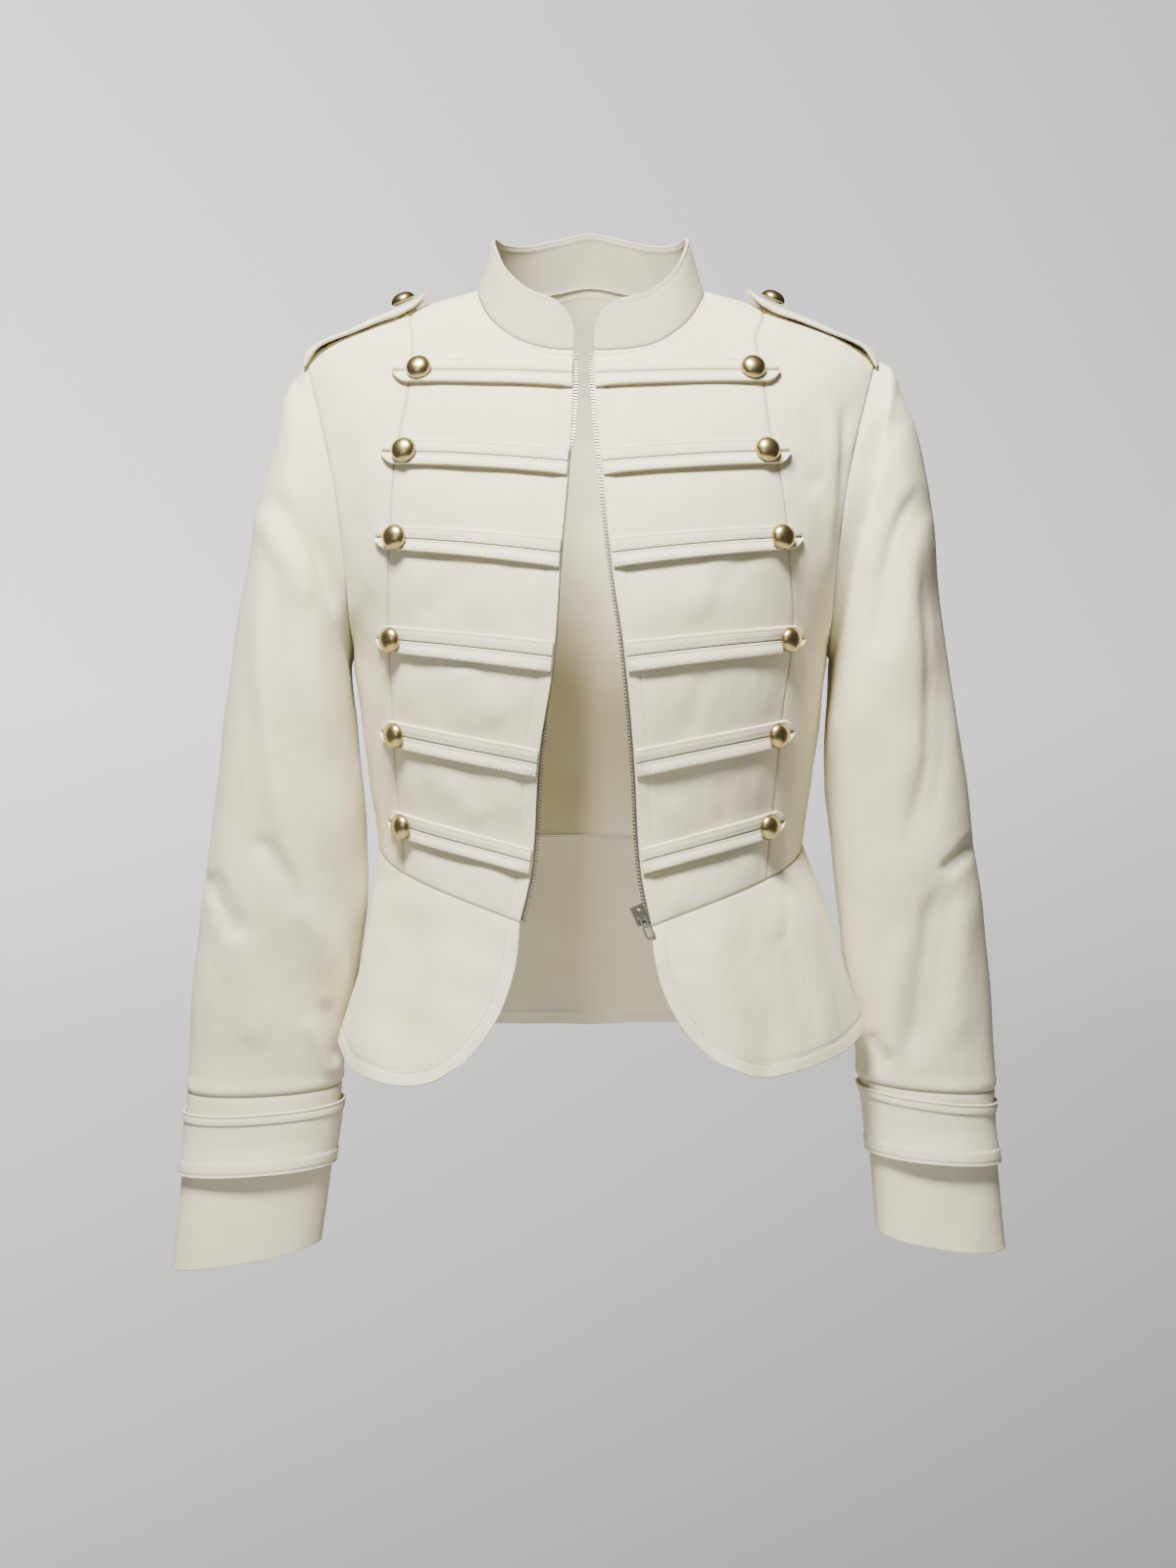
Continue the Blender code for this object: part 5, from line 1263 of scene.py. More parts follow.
peplumLook = {
    "cloth": 0.0018, "rows": 46, "columns": 46, "backColumns": 120, "hemStitch": 0.0088,
    "stitchDepth": 0.0005, "stitchWidth": 0.0012, "rollDepth": 0.0009, "rollWidth": 0.0011,
    "paintedShadeWidth": 0.0008, "rippleHeight": 0.0007, "rippleSize": 0.04, "foldsFrom": 0.05, "calm": 0.012,
    "sewnStep": 0.003, "waistGap": 0.004,
    "near": (0.0005, 0.0012, 0.0024, 0.0042, 0.0062, 0.0074, 0.0082, 0.0088, 0.0094, 0.0102, 0.0115, 0.0135),
    "folds": {
        "front": (
            (0.014, 0.0030, 0, (-0.128, -0.380), (-0.138, -0.440), (-0.150, -0.510), (-0.155, -0.540)),
            (0.013, -0.0026, 0, (-0.112, -0.392), (-0.118, -0.450), (-0.122, -0.500), (-0.122, -0.545)),
            (0.015, 0.0022, 0, (-0.085, -0.410), (-0.084, -0.460), (-0.080, -0.520), (-0.078, -0.550)),
            (0.013, 0.0026, 0, (0.072, -0.415), (0.078, -0.450), (0.086, -0.500), (0.090, -0.548)),
            (0.012, -0.0026, 0, (0.098, -0.400), (0.105, -0.440), (0.114, -0.490), (0.118, -0.545)),
            (0.012, 0.0028, 0, (0.125, -0.385), (0.138, -0.430), (0.152, -0.480), (0.160, -0.530)),
            (0.0035, 0.0012, 0, (0.090, -0.404), (0.089, -0.420), (0.087, -0.437)),
            (0.0035, 0.0012, 0, (0.112, -0.392), (0.109, -0.405), (0.107, -0.418)),
            (0.0060, -0.0012, 0, (0.052, -0.430), (0.056, -0.448), (0.060, -0.462)),
            (0.0030, -0.0012, 0, (0.1290, -0.402), (0.1285, -0.420), (0.1262, -0.448)),
            (0.0030, 0.0011, 0, (0.1210, -0.400), (0.1200, -0.425), (0.1185, -0.442)),
            (0.0032, 0.0011, 0, (0.1115, -0.418), (0.1108, -0.435), (0.1100, -0.456)),
        ),
        "back": (
            (0.015, 0.0030, 0, (-0.110, -0.370), (-0.112, -0.440), (-0.118, -0.520)),
            (0.016, -0.0028, 0, (-0.050, -0.375), (-0.050, -0.440), (-0.052, -0.520)),
            (0.016, 0.0028, 0, (0.010, -0.375), (0.010, -0.440), (0.012, -0.520)),
            (0.016, -0.0028, 0, (0.070, -0.375), (0.075, -0.440), (0.078, -0.520)),
            (0.014, 0.0030, 0, (0.122, -0.370), (0.130, -0.440), (0.136, -0.520)),
        ),
    },
}


def peplumSheet(coarse, columns, sides, edges, seed):
    look = peplumLook
    knots = meanKnots(coarse)
    rowAt = stations(knots[-1], look["rows"], bodice["near"], look["near"])
    p = sheetGrid(coarse, knots, rowAt, columns, *edges)
    n = gridNormals(p)
    away = edgeDistances(p)
    lift = foldLift(p, n, look["folds"]) * smoothStep(away["top"], 0.0, look["foldsFrom"])
    lift += look["rippleHeight"] * ripple(p, look["rippleSize"], seed) * smoothStep(away["top"], 0, 0.01)
    lift *= np.minimum.reduce([smoothStep(away[side], 0.0, look["calm"]) for side in sides])
    roll, seam = rolledSeamsAndShade(away, ("top", *sides), look)
    return p, n, lift + roll, seam


def buildPeplum():
    look = peplumLook
    for side in (-1, 1):
        p, n, lift, seam = peplumSheet(peplumFrontGrid(side), look["columns"], ("right",),
                                       (look["near"], bodice["near"]), 41 + side)
        outline = np.concatenate([p[:, 0], p[-1, 1:]])
        inside = np.concatenate([p[:, 6], p[-7, 1:]])
        normals = np.concatenate([n[:, 0], n[-1, 1:]])
        lengths = lengthAlong(outline)
        even = np.linspace(0, lengths[-1], int(lengths[-1] / look["sewnStep"]))
        outline, inside, normals = (splineAt(a, lengths, even) for a in (outline, inside, normals))
        way = unit(np.cross(normals, unit(np.gradient(outline, axis=0))))
        way *= np.sign(np.sum(way * (inside - outline), axis=-1, keepdims=True))
        sewn = outline + way * look["hemStitch"]
        sewn, _ = onSheet(sewn[sewn[:, 2] < p[0, 0, 2] - look["waistGap"]], p, n)
        lift += pressedLine(p, sewn, look)
        p2, n2 = makeSheet(f"peplum_front_{sideWord[side]}", p, n, look["cloth"], lift, seam, "twill",
                           (0.185, 0.130), 0.0205)
        sewLine("peplum", sewn, p2, n2, 0.00030, 4)
    p, n, lift, seam = peplumSheet(peplumBackGrid(), look["backColumns"], ("left", "right"),
                                   (bodice["near"], bodice["near"]), 47)
    sewn = lineAcross(p, look["hemStitch"], fromFoot=True)
    lift += pressedLine(p, sewn, look)
    p2, n2 = makeSheet("peplum_back", p, n, look["cloth"], lift, seam, "twill", (0.440, 0.140), 0.052)
    sewLine("peplum", sewn, p2, n2)


# Sleeves, cuffs and bands

sleeveLook = {
    "cloth": 0.0016, "rows": 170, "columns": 132, "rollDepth": 0.0009, "rollWidth": 0.0012,
    "paintedShadeWidth": 0.0009, "rippleHeight": 0.0008, "rippleSize": 0.050, "calmTop": 0.022, "calmFoot": 0.012,
    "tuck": 0.0008, "cap": {-1: 0.0026, 1: 0.0046}, "capAt": 0.011, "capWidth": 0.008, "footRidge": 0.0008,
    "footRidgeAt": 0.004, "seamTurn": 171, "grooveDepth": 0.0007, "grooveTurns": 1.0, "grooveShade": 0.6,
    "folds": {
        -1: {
            "front": (
                (0.0075, -0.0030, 0, (-0.214, -0.135), (-0.2124, -0.147), (-0.196, -0.166),
                 (-0.1791, -0.1883), (-0.1661, -0.2287)),
                (0.0080, 0.0026, 0, (-0.224, -0.150), (-0.213, -0.172), (-0.196, -0.196), (-0.184, -0.225)),
                (0.0065, -0.0042, -0.55, (-0.208, -0.180), (-0.2071, -0.2033), (-0.2045, -0.2751),
                 (-0.197, -0.330), (-0.1869, -0.3768), (-0.172, -0.432), (-0.1667, -0.4532),
                 (-0.1693, -0.490)),
                (0.0095, 0.0036, 0, (-0.218, -0.190), (-0.216, -0.2751), (-0.209, -0.335), (-0.198, -0.385),
                 (-0.183, -0.440), (-0.180, -0.490)),
                (0.0075, -0.0024, 0, (-0.228, -0.370), (-0.214, -0.382), (-0.200, -0.400), (-0.190, -0.425)),
                (0.0048, -0.0026, -0.6, (-0.262, -0.395), (-0.258, -0.4023), (-0.243, -0.4277),
                 (-0.236, -0.445)),
                (0.0055, 0.0024, 0, (-0.192, -0.492), (-0.1843, -0.5093), (-0.1739, -0.540)),
                (0.0050, -0.0026, 0, (-0.178, -0.480), (-0.176, -0.500), (-0.170, -0.530)),
                (0.0120, 0.0018, 0, (-0.235, -0.430), (-0.228, -0.470), (-0.226, -0.520)),
                (0.0070, -0.0016, 0, (-0.185, -0.092), (-0.180, -0.118), (-0.172, -0.150)),
            ),
            "back": (
                (0.016, 0.0030, 0, (-0.235, -0.120), (-0.212, -0.200), (-0.200, -0.290)),
                (0.010, -0.0034, 0, (-0.175, -0.270), (-0.215, -0.345), (-0.262, -0.375)),
                (0.010, 0.0034, 0, (-0.160, -0.330), (-0.200, -0.390), (-0.255, -0.410)),
                (0.011, -0.0026, 0, (-0.180, -0.420), (-0.200, -0.480), (-0.215, -0.530)),
            ),
        },
        1: {
            "front": (
                (0.0062, -0.0044, -0.6, (0.226, -0.135), (0.2189, -0.1446), (0.209, -0.157),
                 (0.1987, -0.1778), (0.193, -0.200), (0.1908, -0.219), (0.1850, -0.2600)),
                (0.0055, -0.0032, -0.5, (0.199, -0.088), (0.1948, -0.098), (0.189, -0.110), (0.178, -0.130)),
                (0.0070, 0.0010, 0, (0.176, -0.168), (0.184, -0.180), (0.188, -0.200)),
                (0.0065, -0.0036, -0.7, (0.2235, -0.175), (0.2245, -0.210), (0.2267, -0.2646),
                 (0.2241, -0.3207), (0.2163, -0.3566), (0.210, -0.390)),
                (0.0110, -0.0022, 0, (0.183, -0.290), (0.186, -0.340), (0.192, -0.400), (0.200, -0.450),
                 (0.204, -0.500)),
                (0.0036, -0.0024, -0.8, (0.258, -0.3720), (0.2515, -0.3800), (0.2384, -0.3900),
                 (0.2310, -0.3980)),
                (0.0065, -0.0034, -0.6, (0.2330, -0.3980), (0.2265, -0.4250), (0.2210, -0.4640),
                 (0.2160, -0.5080), (0.215, -0.530)),
                (0.0090, 0.0022, 0, (0.250, -0.405), (0.248, -0.450), (0.247, -0.520)),
                (0.0070, 0.0020, 0, (0.206, -0.430), (0.203, -0.480), (0.203, -0.530)),
                (0.0060, -0.0018, 0, (0.186, -0.505), (0.194, -0.520), (0.204, -0.528)),
            ),
            "back": (
                (0.016, 0.0030, 0, (0.235, -0.120), (0.212, -0.200), (0.200, -0.290)),
                (0.010, -0.0034, 0, (0.175, -0.270), (0.215, -0.345), (0.262, -0.375)),
                (0.010, 0.0034, 0, (0.160, -0.330), (0.200, -0.390), (0.255, -0.410)),
                (0.011, -0.0026, 0, (0.185, -0.420), (0.205, -0.480), (0.220, -0.530)),
            ),
        },
    },
}
cuffLook = {"cloth": 0.0016, "rows": 44, "rollDepth": 0.0012, "rollWidth": 0.0014, "paintedShadeWidth": 0.0010,
            "rippleHeight": 0.0005, "rippleSize": 0.05, "grooveTurns": 1.2}
bandLook = {
    "cloth": 0.0016, "sewnLift": 0.0004, "looseLift": 0.0016, "hang": 0.0030, "rows": 30, "columns": 150,
    "stitch": 0.0017, "stitchDepth": 0.0005, "stitchWidth": 0.0006, "ridge": 0.0008, "ridgeEdge": 0.0007,
    "ridges": (("top", 0.0068), ("foot", 0.0092)), "seam": 0.5, "paintedShadeWidth": 0.0008, "rippleHeight": 0.0004,
    "rippleSize": 0.045, "topRow": 1, "footRow": 2,
    "near": (0.0004, 0.0009, 0.0013, 0.0017, 0.0021, 0.0027, 0.0040, 0.0056, 0.0064, 0.0068, 0.0073, 0.0082,
             0.0092, 0.0098),
}


def buildSleeve(side):
    look = sleeveLook
    near = bodice["near"]
    p, at = tubeGrid(sleeveGrid(side), lambda length: stations(length, look["rows"], near, near),
                     look["columns"])
    n = gridNormals(p, closed=True)
    p[0] += unit(p[0] - p[1]) * look["tuck"]
    away = edgeDistances(p)
    fromTop = smoothStep(away["top"], 0, 0.02)
    lift = foldLift(p, n, look["folds"][side])
    lift += look["rippleHeight"] * ripple(p, look["rippleSize"], 61 + side)
    lift *= smoothStep(away["top"], 0, look["calmTop"]) * smoothStep(away["foot"], 0, look["calmFoot"])
    cap = np.cos(np.radians(at)).clip(0, 1)[None, :] ** 2
    lift -= look["cap"][side] * cap * dip(away["top"] - look["capAt"], look["capWidth"])
    underarm = np.abs(at[None, :] - look["seamTurn"]) * fromTop
    groove = dip(underarm, look["grooveTurns"]) * fromTop
    roll, seam = rolledSeamsAndShade(away, ("top", "foot"), look)
    lift += roll - look["grooveDepth"] * groove
    lift += look["footRidge"] * dip(away["foot"] - look["footRidgeAt"], look["footRidgeAt"])
    # painted shade in the underarm groove, besides that at the ends
    seam = np.maximum(seam, look["grooveShade"] * groove)
    name = f"sleeve_{sideWord[side]}"
    makeSheet(name, p, n, look["cloth"], lift, seam, "twill", (0.360, 0.520), 0.125, closed=True,
              nodes=(name, "under_" + name))


def buildCuff(side):
    look = cuffLook
    near = bodice["near"]
    p, at = tubeGrid(cuffGrid(side), lambda length: stations(length, look["rows"], near, near),
                     sleeveLook["columns"])
    n = gridNormals(p, closed=True)
    away = edgeDistances(p)
    groove = dip(at[None, :] - sleeveLook["seamTurn"], look["grooveTurns"])
    roll, seam = rolledSeamsAndShade(away, ("top",), look)
    lift = look["rippleHeight"] * ripple(p, look["rippleSize"], 71 + side) * smoothStep(away["top"], 0, 0.01)
    lift = lift + roll - sleeveLook["grooveDepth"] * groove
    # painted shade in the underarm groove, besides that at the top
    seam = np.maximum(seam, sleeveLook["grooveShade"] * groove)
    makeSheet(f"cuff_{sideWord[side]}", p, n, look["cloth"], lift, seam, "twill", (0.240, 0.120), 0.027,
              closed=True)


def buildBand(side):
    # a loose band sewn to the cuff at the seams, hanging away from it in front
    look = bandLook
    coarse = cuffGrid(side)
    low, high = meanKnots(coarse)[[look["topRow"], look["footRow"]]]
    p, at = tubeGrid(coarse, lambda _: low + stations(high - low, look["rows"], look["near"], look["near"]),
                     look["columns"])
    n = gridNormals(p, closed=True)
    away = edgeDistances(p)
    swing = np.sin(np.radians(at))[None, :]
    depth = away["top"] / (away["top"] + away["foot"])
    gap = look["sewnLift"] + (look["looseLift"] - look["sewnLift"]) * np.abs(swing)
    hang = look["hang"] * smoothStep(depth, 0.45, 1.0) * swing.clip(0, 1) ** 2
    lift = gap + hang + look["cloth"] + look["rippleHeight"] * ripple(p, look["rippleSize"], 81 + side)
    # painted shade along the pressed ridges; the hanging foot gets painted shadow on its rim and underside
    seam = np.zeros(p.shape[:2])
    for end, inset in look["ridges"]:
        lift -= look["stitchDepth"] * dip(away[end] - look["stitch"], look["stitchWidth"])
        lift += look["ridge"] * smoothStep(inset - away[end], -look["ridgeEdge"], look["ridgeEdge"])
        seam = np.maximum(seam, look["seam"] * np.exp(-np.abs(away[end] - inset) / look["paintedShadeWidth"]))
    p2, n2 = makeSheet(f"cuff_band_{sideWord[side]}", p, n, look["cloth"], lift, seam, "twill_trim",
                       (0.270, 0.047), 0.0124, held="hung", closed=True, dark=-1)
    for fromFoot in (False, True):
        line = lineAcross(p2, look["stitch"], fromFoot)
        sewLine(f"cuff_{sideWord[side]}", np.concatenate([line, line[:1]]), p2, n2)


# Tabs and straps

tabLook = {
    "cloth": 0.0022, "gap": 0.0004, "start": 0.0008, "columns": 52, "tip": 0.0105, "flatWidth": 0.020,
    "meanWidth": 0.0185, "groove": 0.0017, "grooveWidth": 0.00034, "slit": 0.9, "deepest": 0.0017,
    "crown": 0.00015, "edgeDrop": 0.0008, "edgeWidth": 0.0004, "footLift": 0.0018, "tipLift": 0.0007,
    "stitchIn": 0.0018, "stitchDepth": 0.0003, "stitchWidth": 0.0006, "frontDepth": 0.0004,
    "frontWidth": 0.0009, "rippleHeight": 0.0003, "rippleSize": 0.03, "paintedShadeWidth": 0.0005, "paintedEdgeShade": 0.15,
    "paintedEdgeShadeWidth": 0.0004, "sewnFrom": 0.002,
    "near": (0.0006, 0.0014, 0.0030, 0.0060),
    "far": (0.0003, 0.0008, 0.0015, 0.0025, 0.0038, 0.0052, 0.0068, 0.0085, 0.0105),
    "across": (0, 0.02, 0.05, 0.08, 0.11, 0.15, 0.20, 0.27, 0.34, 0.39, 0.43, 0.455, 0.475, 0.49, 0.50, 0.51,
               0.525, 0.545, 0.57, 0.61, 0.66, 0.73, 0.80, 0.85, 0.89, 0.92, 0.95, 0.98, 1.0),
}


def buildTab(side, number, row):
    look = tabLook
    front, outside = frontGrid(side), sideFrontGrid(side)
    upper, lower = front[row], front[row + 1]
    middle = np.concatenate([(upper + lower) / 2, [(outside[row][1] + outside[row + 1][1]) / 2]])
    half = (lower - upper) / 2
    half = np.concatenate([half, half[-1:]])
    knots = lengthAlong(middle)
    length = float(knots[-1])
    at = look["start"] + stations(length - look["start"], look["columns"], look["near"], look["far"])
    centre, reach = splineAt(middle, knots, at), splineAt(half, knots, at)
    end = np.clip((at - (length - look["tip"])) / look["tip"], 0, 1)
    taper = np.maximum((1 - end ** 1.7) ** 0.8, 0.02)
    across = np.array(look["across"])
    p = centre[None] + (2 * across - 1)[:, None, None] * (reach * taper[:, None])[None]
    n = figureNormal(p)
    width = (2 * np.linalg.norm(reach, axis=-1) * taper)[None]
    y = across[:, None] * width
    fromEdge = np.minimum(y, width - y)
    fromMiddle = y - width / 2
    away = lengthAlong(p, 1)
    # two folds that meet at a groove, which opens to a slit at the pointed end
    slit = 1 + look["slit"] * smoothStep(end, 0.0, 0.6)[None]
    profile = -look["groove"] * slit * dip(fromMiddle, look["grooveWidth"] * slit)
    profile += look["crown"] * np.sin(np.pi * np.clip(2 * np.minimum(across, 1 - across), 0, 1))[:, None]
    profile -= look["edgeDrop"] * np.exp(-fromEdge / look["edgeWidth"])
    for distance in (fromEdge, np.abs(fromMiddle)):
        profile -= look["stitchDepth"] * dip(distance - look["stitchIn"], look["stitchWidth"])
    profile += look["tipLift"] * (fromMiddle < 0) * smoothStep(end, 0.1, 0.7)[None]
    profile -= look["frontDepth"] * dip(away - bodice["frontStitch"] + look["start"], look["frontWidth"])
    profile += look["rippleHeight"] * ripple(p, look["rippleSize"], 100 + number)
    profile = np.maximum(profile, -look["deepest"])
    loose = smoothStep(across, 0.55, 1.0)[:, None] * smoothStep(away, 0, 0.01)
    under = look["gap"] + look["footLift"] * loose
    # painted shade along the tab's edges and in its middle groove; its foot gets painted shadow on its rim
    # and underside
    seam = look["paintedEdgeShade"] * np.exp(-fromEdge / look["paintedEdgeShadeWidth"])
    seam = np.maximum(seam, dip(fromMiddle, look["paintedShadeWidth"]))
    inner, outer = p + n * under[..., None], p + n * (under + look["cloth"] + profile)[..., None]
    flat, area = (round(length, 3), look["flatWidth"]), round(length * look["meanWidth"], 5)
    name = f"tab_{sideWord[side]}_{number}"
    outer, normals = makeCloth(name, outer, inner, seam, "twill_trim", flat, area, held="laid", dark=-1)
    sewn = np.flatnonzero((at > look["start"] + look["sewnFrom"]) & (at < length - look["tip"] * 0.75))
    for share, inset in ((0, look["stitchIn"]), (0.5, -look["stitchIn"]), (0.5, look["stitchIn"]),
                         (1, -look["stitchIn"])):
        target = width[0] * share + inset
        line = [[np.interp(target[c], y[:, c], outer[:, c, k]) for k in range(3)] for c in sewn]
        sewLine(f"tabs_{sideWord[side]}", np.array(line), outer, normals)
    return outer, normals


strapLook = {
    "cloth": 0.0024, "frontY": -0.0270, "backY": 0.0140, "outerX": 0.1915, "neckX": {-1: 0.1085, 1: 0.1045},
    "stations": (
        # share of the length, lift, share of the width
        (0.00, 0.0009, 0.92), (0.10, 0.0014, 0.94), (0.26, 0.0014, 0.97), (0.56, 0.0014, 1.0),
        (0.83, 0.0018, 1.0), (0.92, 0.0028, 0.75), (1.00, 0.0045, 0.20),
    ),
    "point": 0.84, "tipWidth": 0.04, "stitch": 0.0020, "stitchDepth": 0.0004, "stitchWidth": 0.0007,
    "edgeDrop": 0.0007, "edgeWidth": 0.0008, "paintedEdgeShade": 0.15, "paintedEdgeShadeWidth": 0.0005,
    "rippleHeight": 0.0004, "rippleSize": 0.04, "endGap": 0.0004, "frontLift": 0.0010, "bowLift": 0.0007,
}


def buildStrap(side):
    look = strapLook
    knots, lifts, shares = np.array(look["stations"]).T
    along = np.concatenate([[0, 0.006, 0.014, 0.03], np.linspace(0.05, 0.80, 34), np.linspace(0.82, 1.0, 16)])
    lifts, shares = splineAt(lifts, knots, along), splineAt(shares, knots, along)
    tipEnd = np.clip((along - look["point"]) / (1 - look["point"]), 0, 1)
    pointed = np.maximum((1 - tipEnd ** 1.8) ** 0.8, look["tipWidth"])
    shares = np.where(along > look["point"], pointed, shares)
    across = np.concatenate([[-1, -0.975, -0.95, -0.90, -0.84], np.linspace(-0.76, 0.76, 12),
                             [0.84, 0.90, 0.95, 0.975, 1]])
    xs = look["outerX"] + (look["neckX"][side] - look["outerX"]) * along
    middle, half = (look["frontY"] + look["backY"]) / 2, (look["backY"] - look["frontY"]) / 2
    shoulder = [armholePoint(turn, False) for turn in range(44, -1, -2)]
    shoulder = np.array(shoulder + [armholePoint(turn, True) for turn in range(2, 46, 2)])
    lines = []
    for x, share, step in zip(xs, shares, along):
        y = middle + half * share * across
        stop = np.interp(y, shoulder[:, 1], shoulder[:, 0]) - look["endGap"]
        shift = np.minimum(0, stop - look["outerX"]) * (1 - step)
        lines.append([xyz(u, v, shoulderHeight(u, v)) for u, v in zip(x + shift, y)])
    p = np.array(lines)
    n = figureNormal(p) * (side, 1, 1)
    p = p * (side, 1, 1)
    away = edgeDistances(p)
    fromEdge = np.minimum.reduce([away["left"], away["right"], away["foot"]])
    profile = -look["edgeDrop"] * np.exp(-fromEdge / look["edgeWidth"])
    profile -= look["stitchDepth"] * dip(fromEdge - look["stitch"], look["stitchWidth"])
    profile += look["rippleHeight"] * ripple(p, look["rippleSize"], 91 + side)
    # the front edge stands off the shoulder, most near the sleeve
    bow = (0.35 + 0.65 * smoothStep(along, 0.0, 0.20)) * (1 - smoothStep(along, 0.20, 0.65))
    under = look["frontLift"] * smoothStep(-across, 0.5, 1.0)[None, :]
    under = under + look["bowLift"] * np.clip(-across, 0, 1)[None, :] * bow[:, None] + lifts[:, None]
    # painted shade along the strap's edges; its front edge gets painted shadow on its rim and underside
    seam = look["paintedEdgeShade"] * np.exp(-fromEdge / look["paintedEdgeShadeWidth"])
    inner, outer = p + n * under[..., None], p + n * (under + look["cloth"] + profile)[..., None]
    outer, normals = makeCloth(f"shoulder_strap_{sideWord[side]}", outer, inner, seam, "twill_trim",
                               (0.092, 0.043), 0.0038, held="laid", dark=np.s_[:, 0])
    for fromRight in (False, True):
        sewLine("straps", lineDown(outer, look["stitch"], fromRight)[2:-9], outer, normals)


# Buttons

buttonLook = {
    "radius": 0.0085, "dome": 0.0058, "turns": 44, "back": 1.22, "rimShadeFrom": 0.86,
    "section": (
        # share of the radius, share of the height
        (0.16, 0.992), (0.34, 0.955), (0.52, 0.875), (0.68, 0.755), (0.82, 0.590), (0.92, 0.410),
        (0.975, 0.230), (1.0, 0.060), (1.0, 0.0), (0.985, -0.055), (0.95, -0.085), (0.86, -0.090),
        (0.84, -0.20), (0.40, -0.22),
    ),
}


def buildButton(node):
    # the middle and the outward axis are those of the turned solid
    look = buttonLook
    co = np.unique(np.round([v.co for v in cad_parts[node].data.vertices], 6), axis=0)
    values, vectors = np.linalg.eigh(np.cov((co - co.mean(0)).T))
    axis = vectors[:, 0] if values[1] - values[0] > values[2] - values[1] else vectors[:, 2]
    if np.dot(axis, figureNormal((co.max(0) + co.min(0)) / 2)) < 0:
        axis = -axis
    top = co.mean(0) + axis * ((co @ axis).max() - co.mean(0) @ axis)
    count = look["turns"]
    angle = np.arange(count) * 2 * math.pi / count
    side = unit(np.cross(axis, (0.0, 0.0, 1.0)))
    circle = np.outer(np.cos(angle), side) + np.outer(np.sin(angle), np.cross(side, axis))
    vertices, seam = [top], [0.0]
    for share, rise in look["section"]:
        vertices += list(top - axis * look["dome"] * (1 - rise) + look["radius"] * share * circle)
        # painted shade on the dome's rim and over its whole underside
        rimShade = float(np.clip((share - look["rimShadeFrom"]) / (1 - look["rimShadeFrom"]), 0, 1))
        seam += [rimShade if rise > 0 else 1.0] * count
    foot = len(vertices)
    last = foot - count
    vertices.append(top - axis * look["dome"] * look["back"])
    seam.append(1.0)
    pairs = [(k, (k + 1) % count) for k in range(count)]
    faces = [(0, 1 + k, 1 + j) for k, j in pairs]
    faces += [(a + k, a + count + k, a + count + j, a + j) for a in range(1, last, count) for k, j in pairs]
    faces += [(foot, last + j, last + k) for k, j in pairs]
    finishPiece(meshObject(node + "_dome", vertices, faces, seam), "satin_brass", node)


# Zip

zipLook = {
    "tape": 0.0010, "reach": 0.0013, "hiddenReach": 0.0006, "hold": 0.0100, "sunk": 0.0023, "step": 0.0030,
    "start": 0.004, "stop": 0.002, "shares": (0.0, 0.12, 0.3, 0.6, 1.0), "pitch": 0.0023,
    "root": (0.0011, 0.0032, 0.0018), "head": (0.0014, 0.0014, 0.0019), "headShift": 0.0012,
    "tuckIn": 0.0040, "tucked": ((0.060, 0.090), (0.235, 0.270)),
}


def buildZip(side, p, n):
    look = zipLook
    lengths = lengthAlong(p[:, 0])
    at = np.linspace(look["start"], lengths[-1] - look["stop"], int(lengths[-1] / look["step"]))
    edge, way, out = (splineAt(a, lengths, at) for a in (p[:, 0], n[:, 0], unit(p[:, 0] - p[:, 6])))
    way, out = unit(way), unit(out)
    hidden = np.zeros(len(at))
    if side < 0:
        # the chain lies behind the edge of the wearer's right front from the chest to the ribs
        first, last = look["tucked"]
        hidden = smoothStep(at, *first) * (1 - smoothStep(at, *last))
    reach = look["reach"] * (1 - hidden) + look["hiddenReach"] * hidden
    sunk = edge - way * look["sunk"]
    inward = reach[:, None] - (reach + look["hold"])[:, None] * np.array(look["shares"])
    tape = sunk[:, None] + out[:, None] * inward[..., None]
    inner, seam = tape - way[:, None] * look["tape"], np.zeros(tape.shape[:2])
    makeCloth(f"zip_tape_{sideWord[side]}", tape, inner, seam, "zip_tape", (0.013, 0.390), 0.0047,
              held="stretched")
    line = sunk + out * (reach - look["tuckIn"] * hidden)[:, None] - way * look["tape"] / 2
    sign = 1 if np.dot(np.cross(way[0], line[1] - line[0]), out[0]) > 0 else -1
    repeatAlong(f"zip_teeth_{sideWord[side]}", trees["tooth"], [(line, way)], {
        "Pitch": look["pitch"], "Smallest": (1, 1, 1), "Largest": (1, 1, 1), "Seed": 1, "Root": look["root"],
        "Head": look["head"], "Head Shift": (0.0, look["headShift"] * sign, 0.0),
    }, "zip_teeth", "zip_metal")


# Stitching

trees = {}
stitchLook = {"pitch": 0.0028, "thread": 0.00034, "stretch": (3.0, 1.0, 0.9), "smallest": (0.88, 0.85, 0.85),
              "largest": (1.05, 1.15, 1.1), "carryAside": 0.0012, "carryLift": (0.0005, 0.006)}


def sewFrontEdge(side, line, p, n, tabs):
    # the front's own stitching, carried over each tab that it crosses
    lowest, highest = stitchLook["carryLift"]
    where, way = onSheet(line, p, n)
    for outer, normals in tabs:
        flat, ways = outer.reshape(-1, 3), normals.reshape(-1, 3)
        for i, q in enumerate(where):
            gap = flat - q
            k = int(np.argmin(np.sum(gap ** 2, axis=1)))
            lift = float(np.dot(gap[k], ways[k]))
            aside = np.linalg.norm(gap[k] - ways[k] * lift)
            if aside < stitchLook["carryAside"] and lowest < lift < highest:
                where[i] = q + ways[k] * lift
                way[i] = ways[k]
    stitchLines.setdefault(f"front_{sideWord[side]}", []).append((where[3:-2], way[3:-2]))


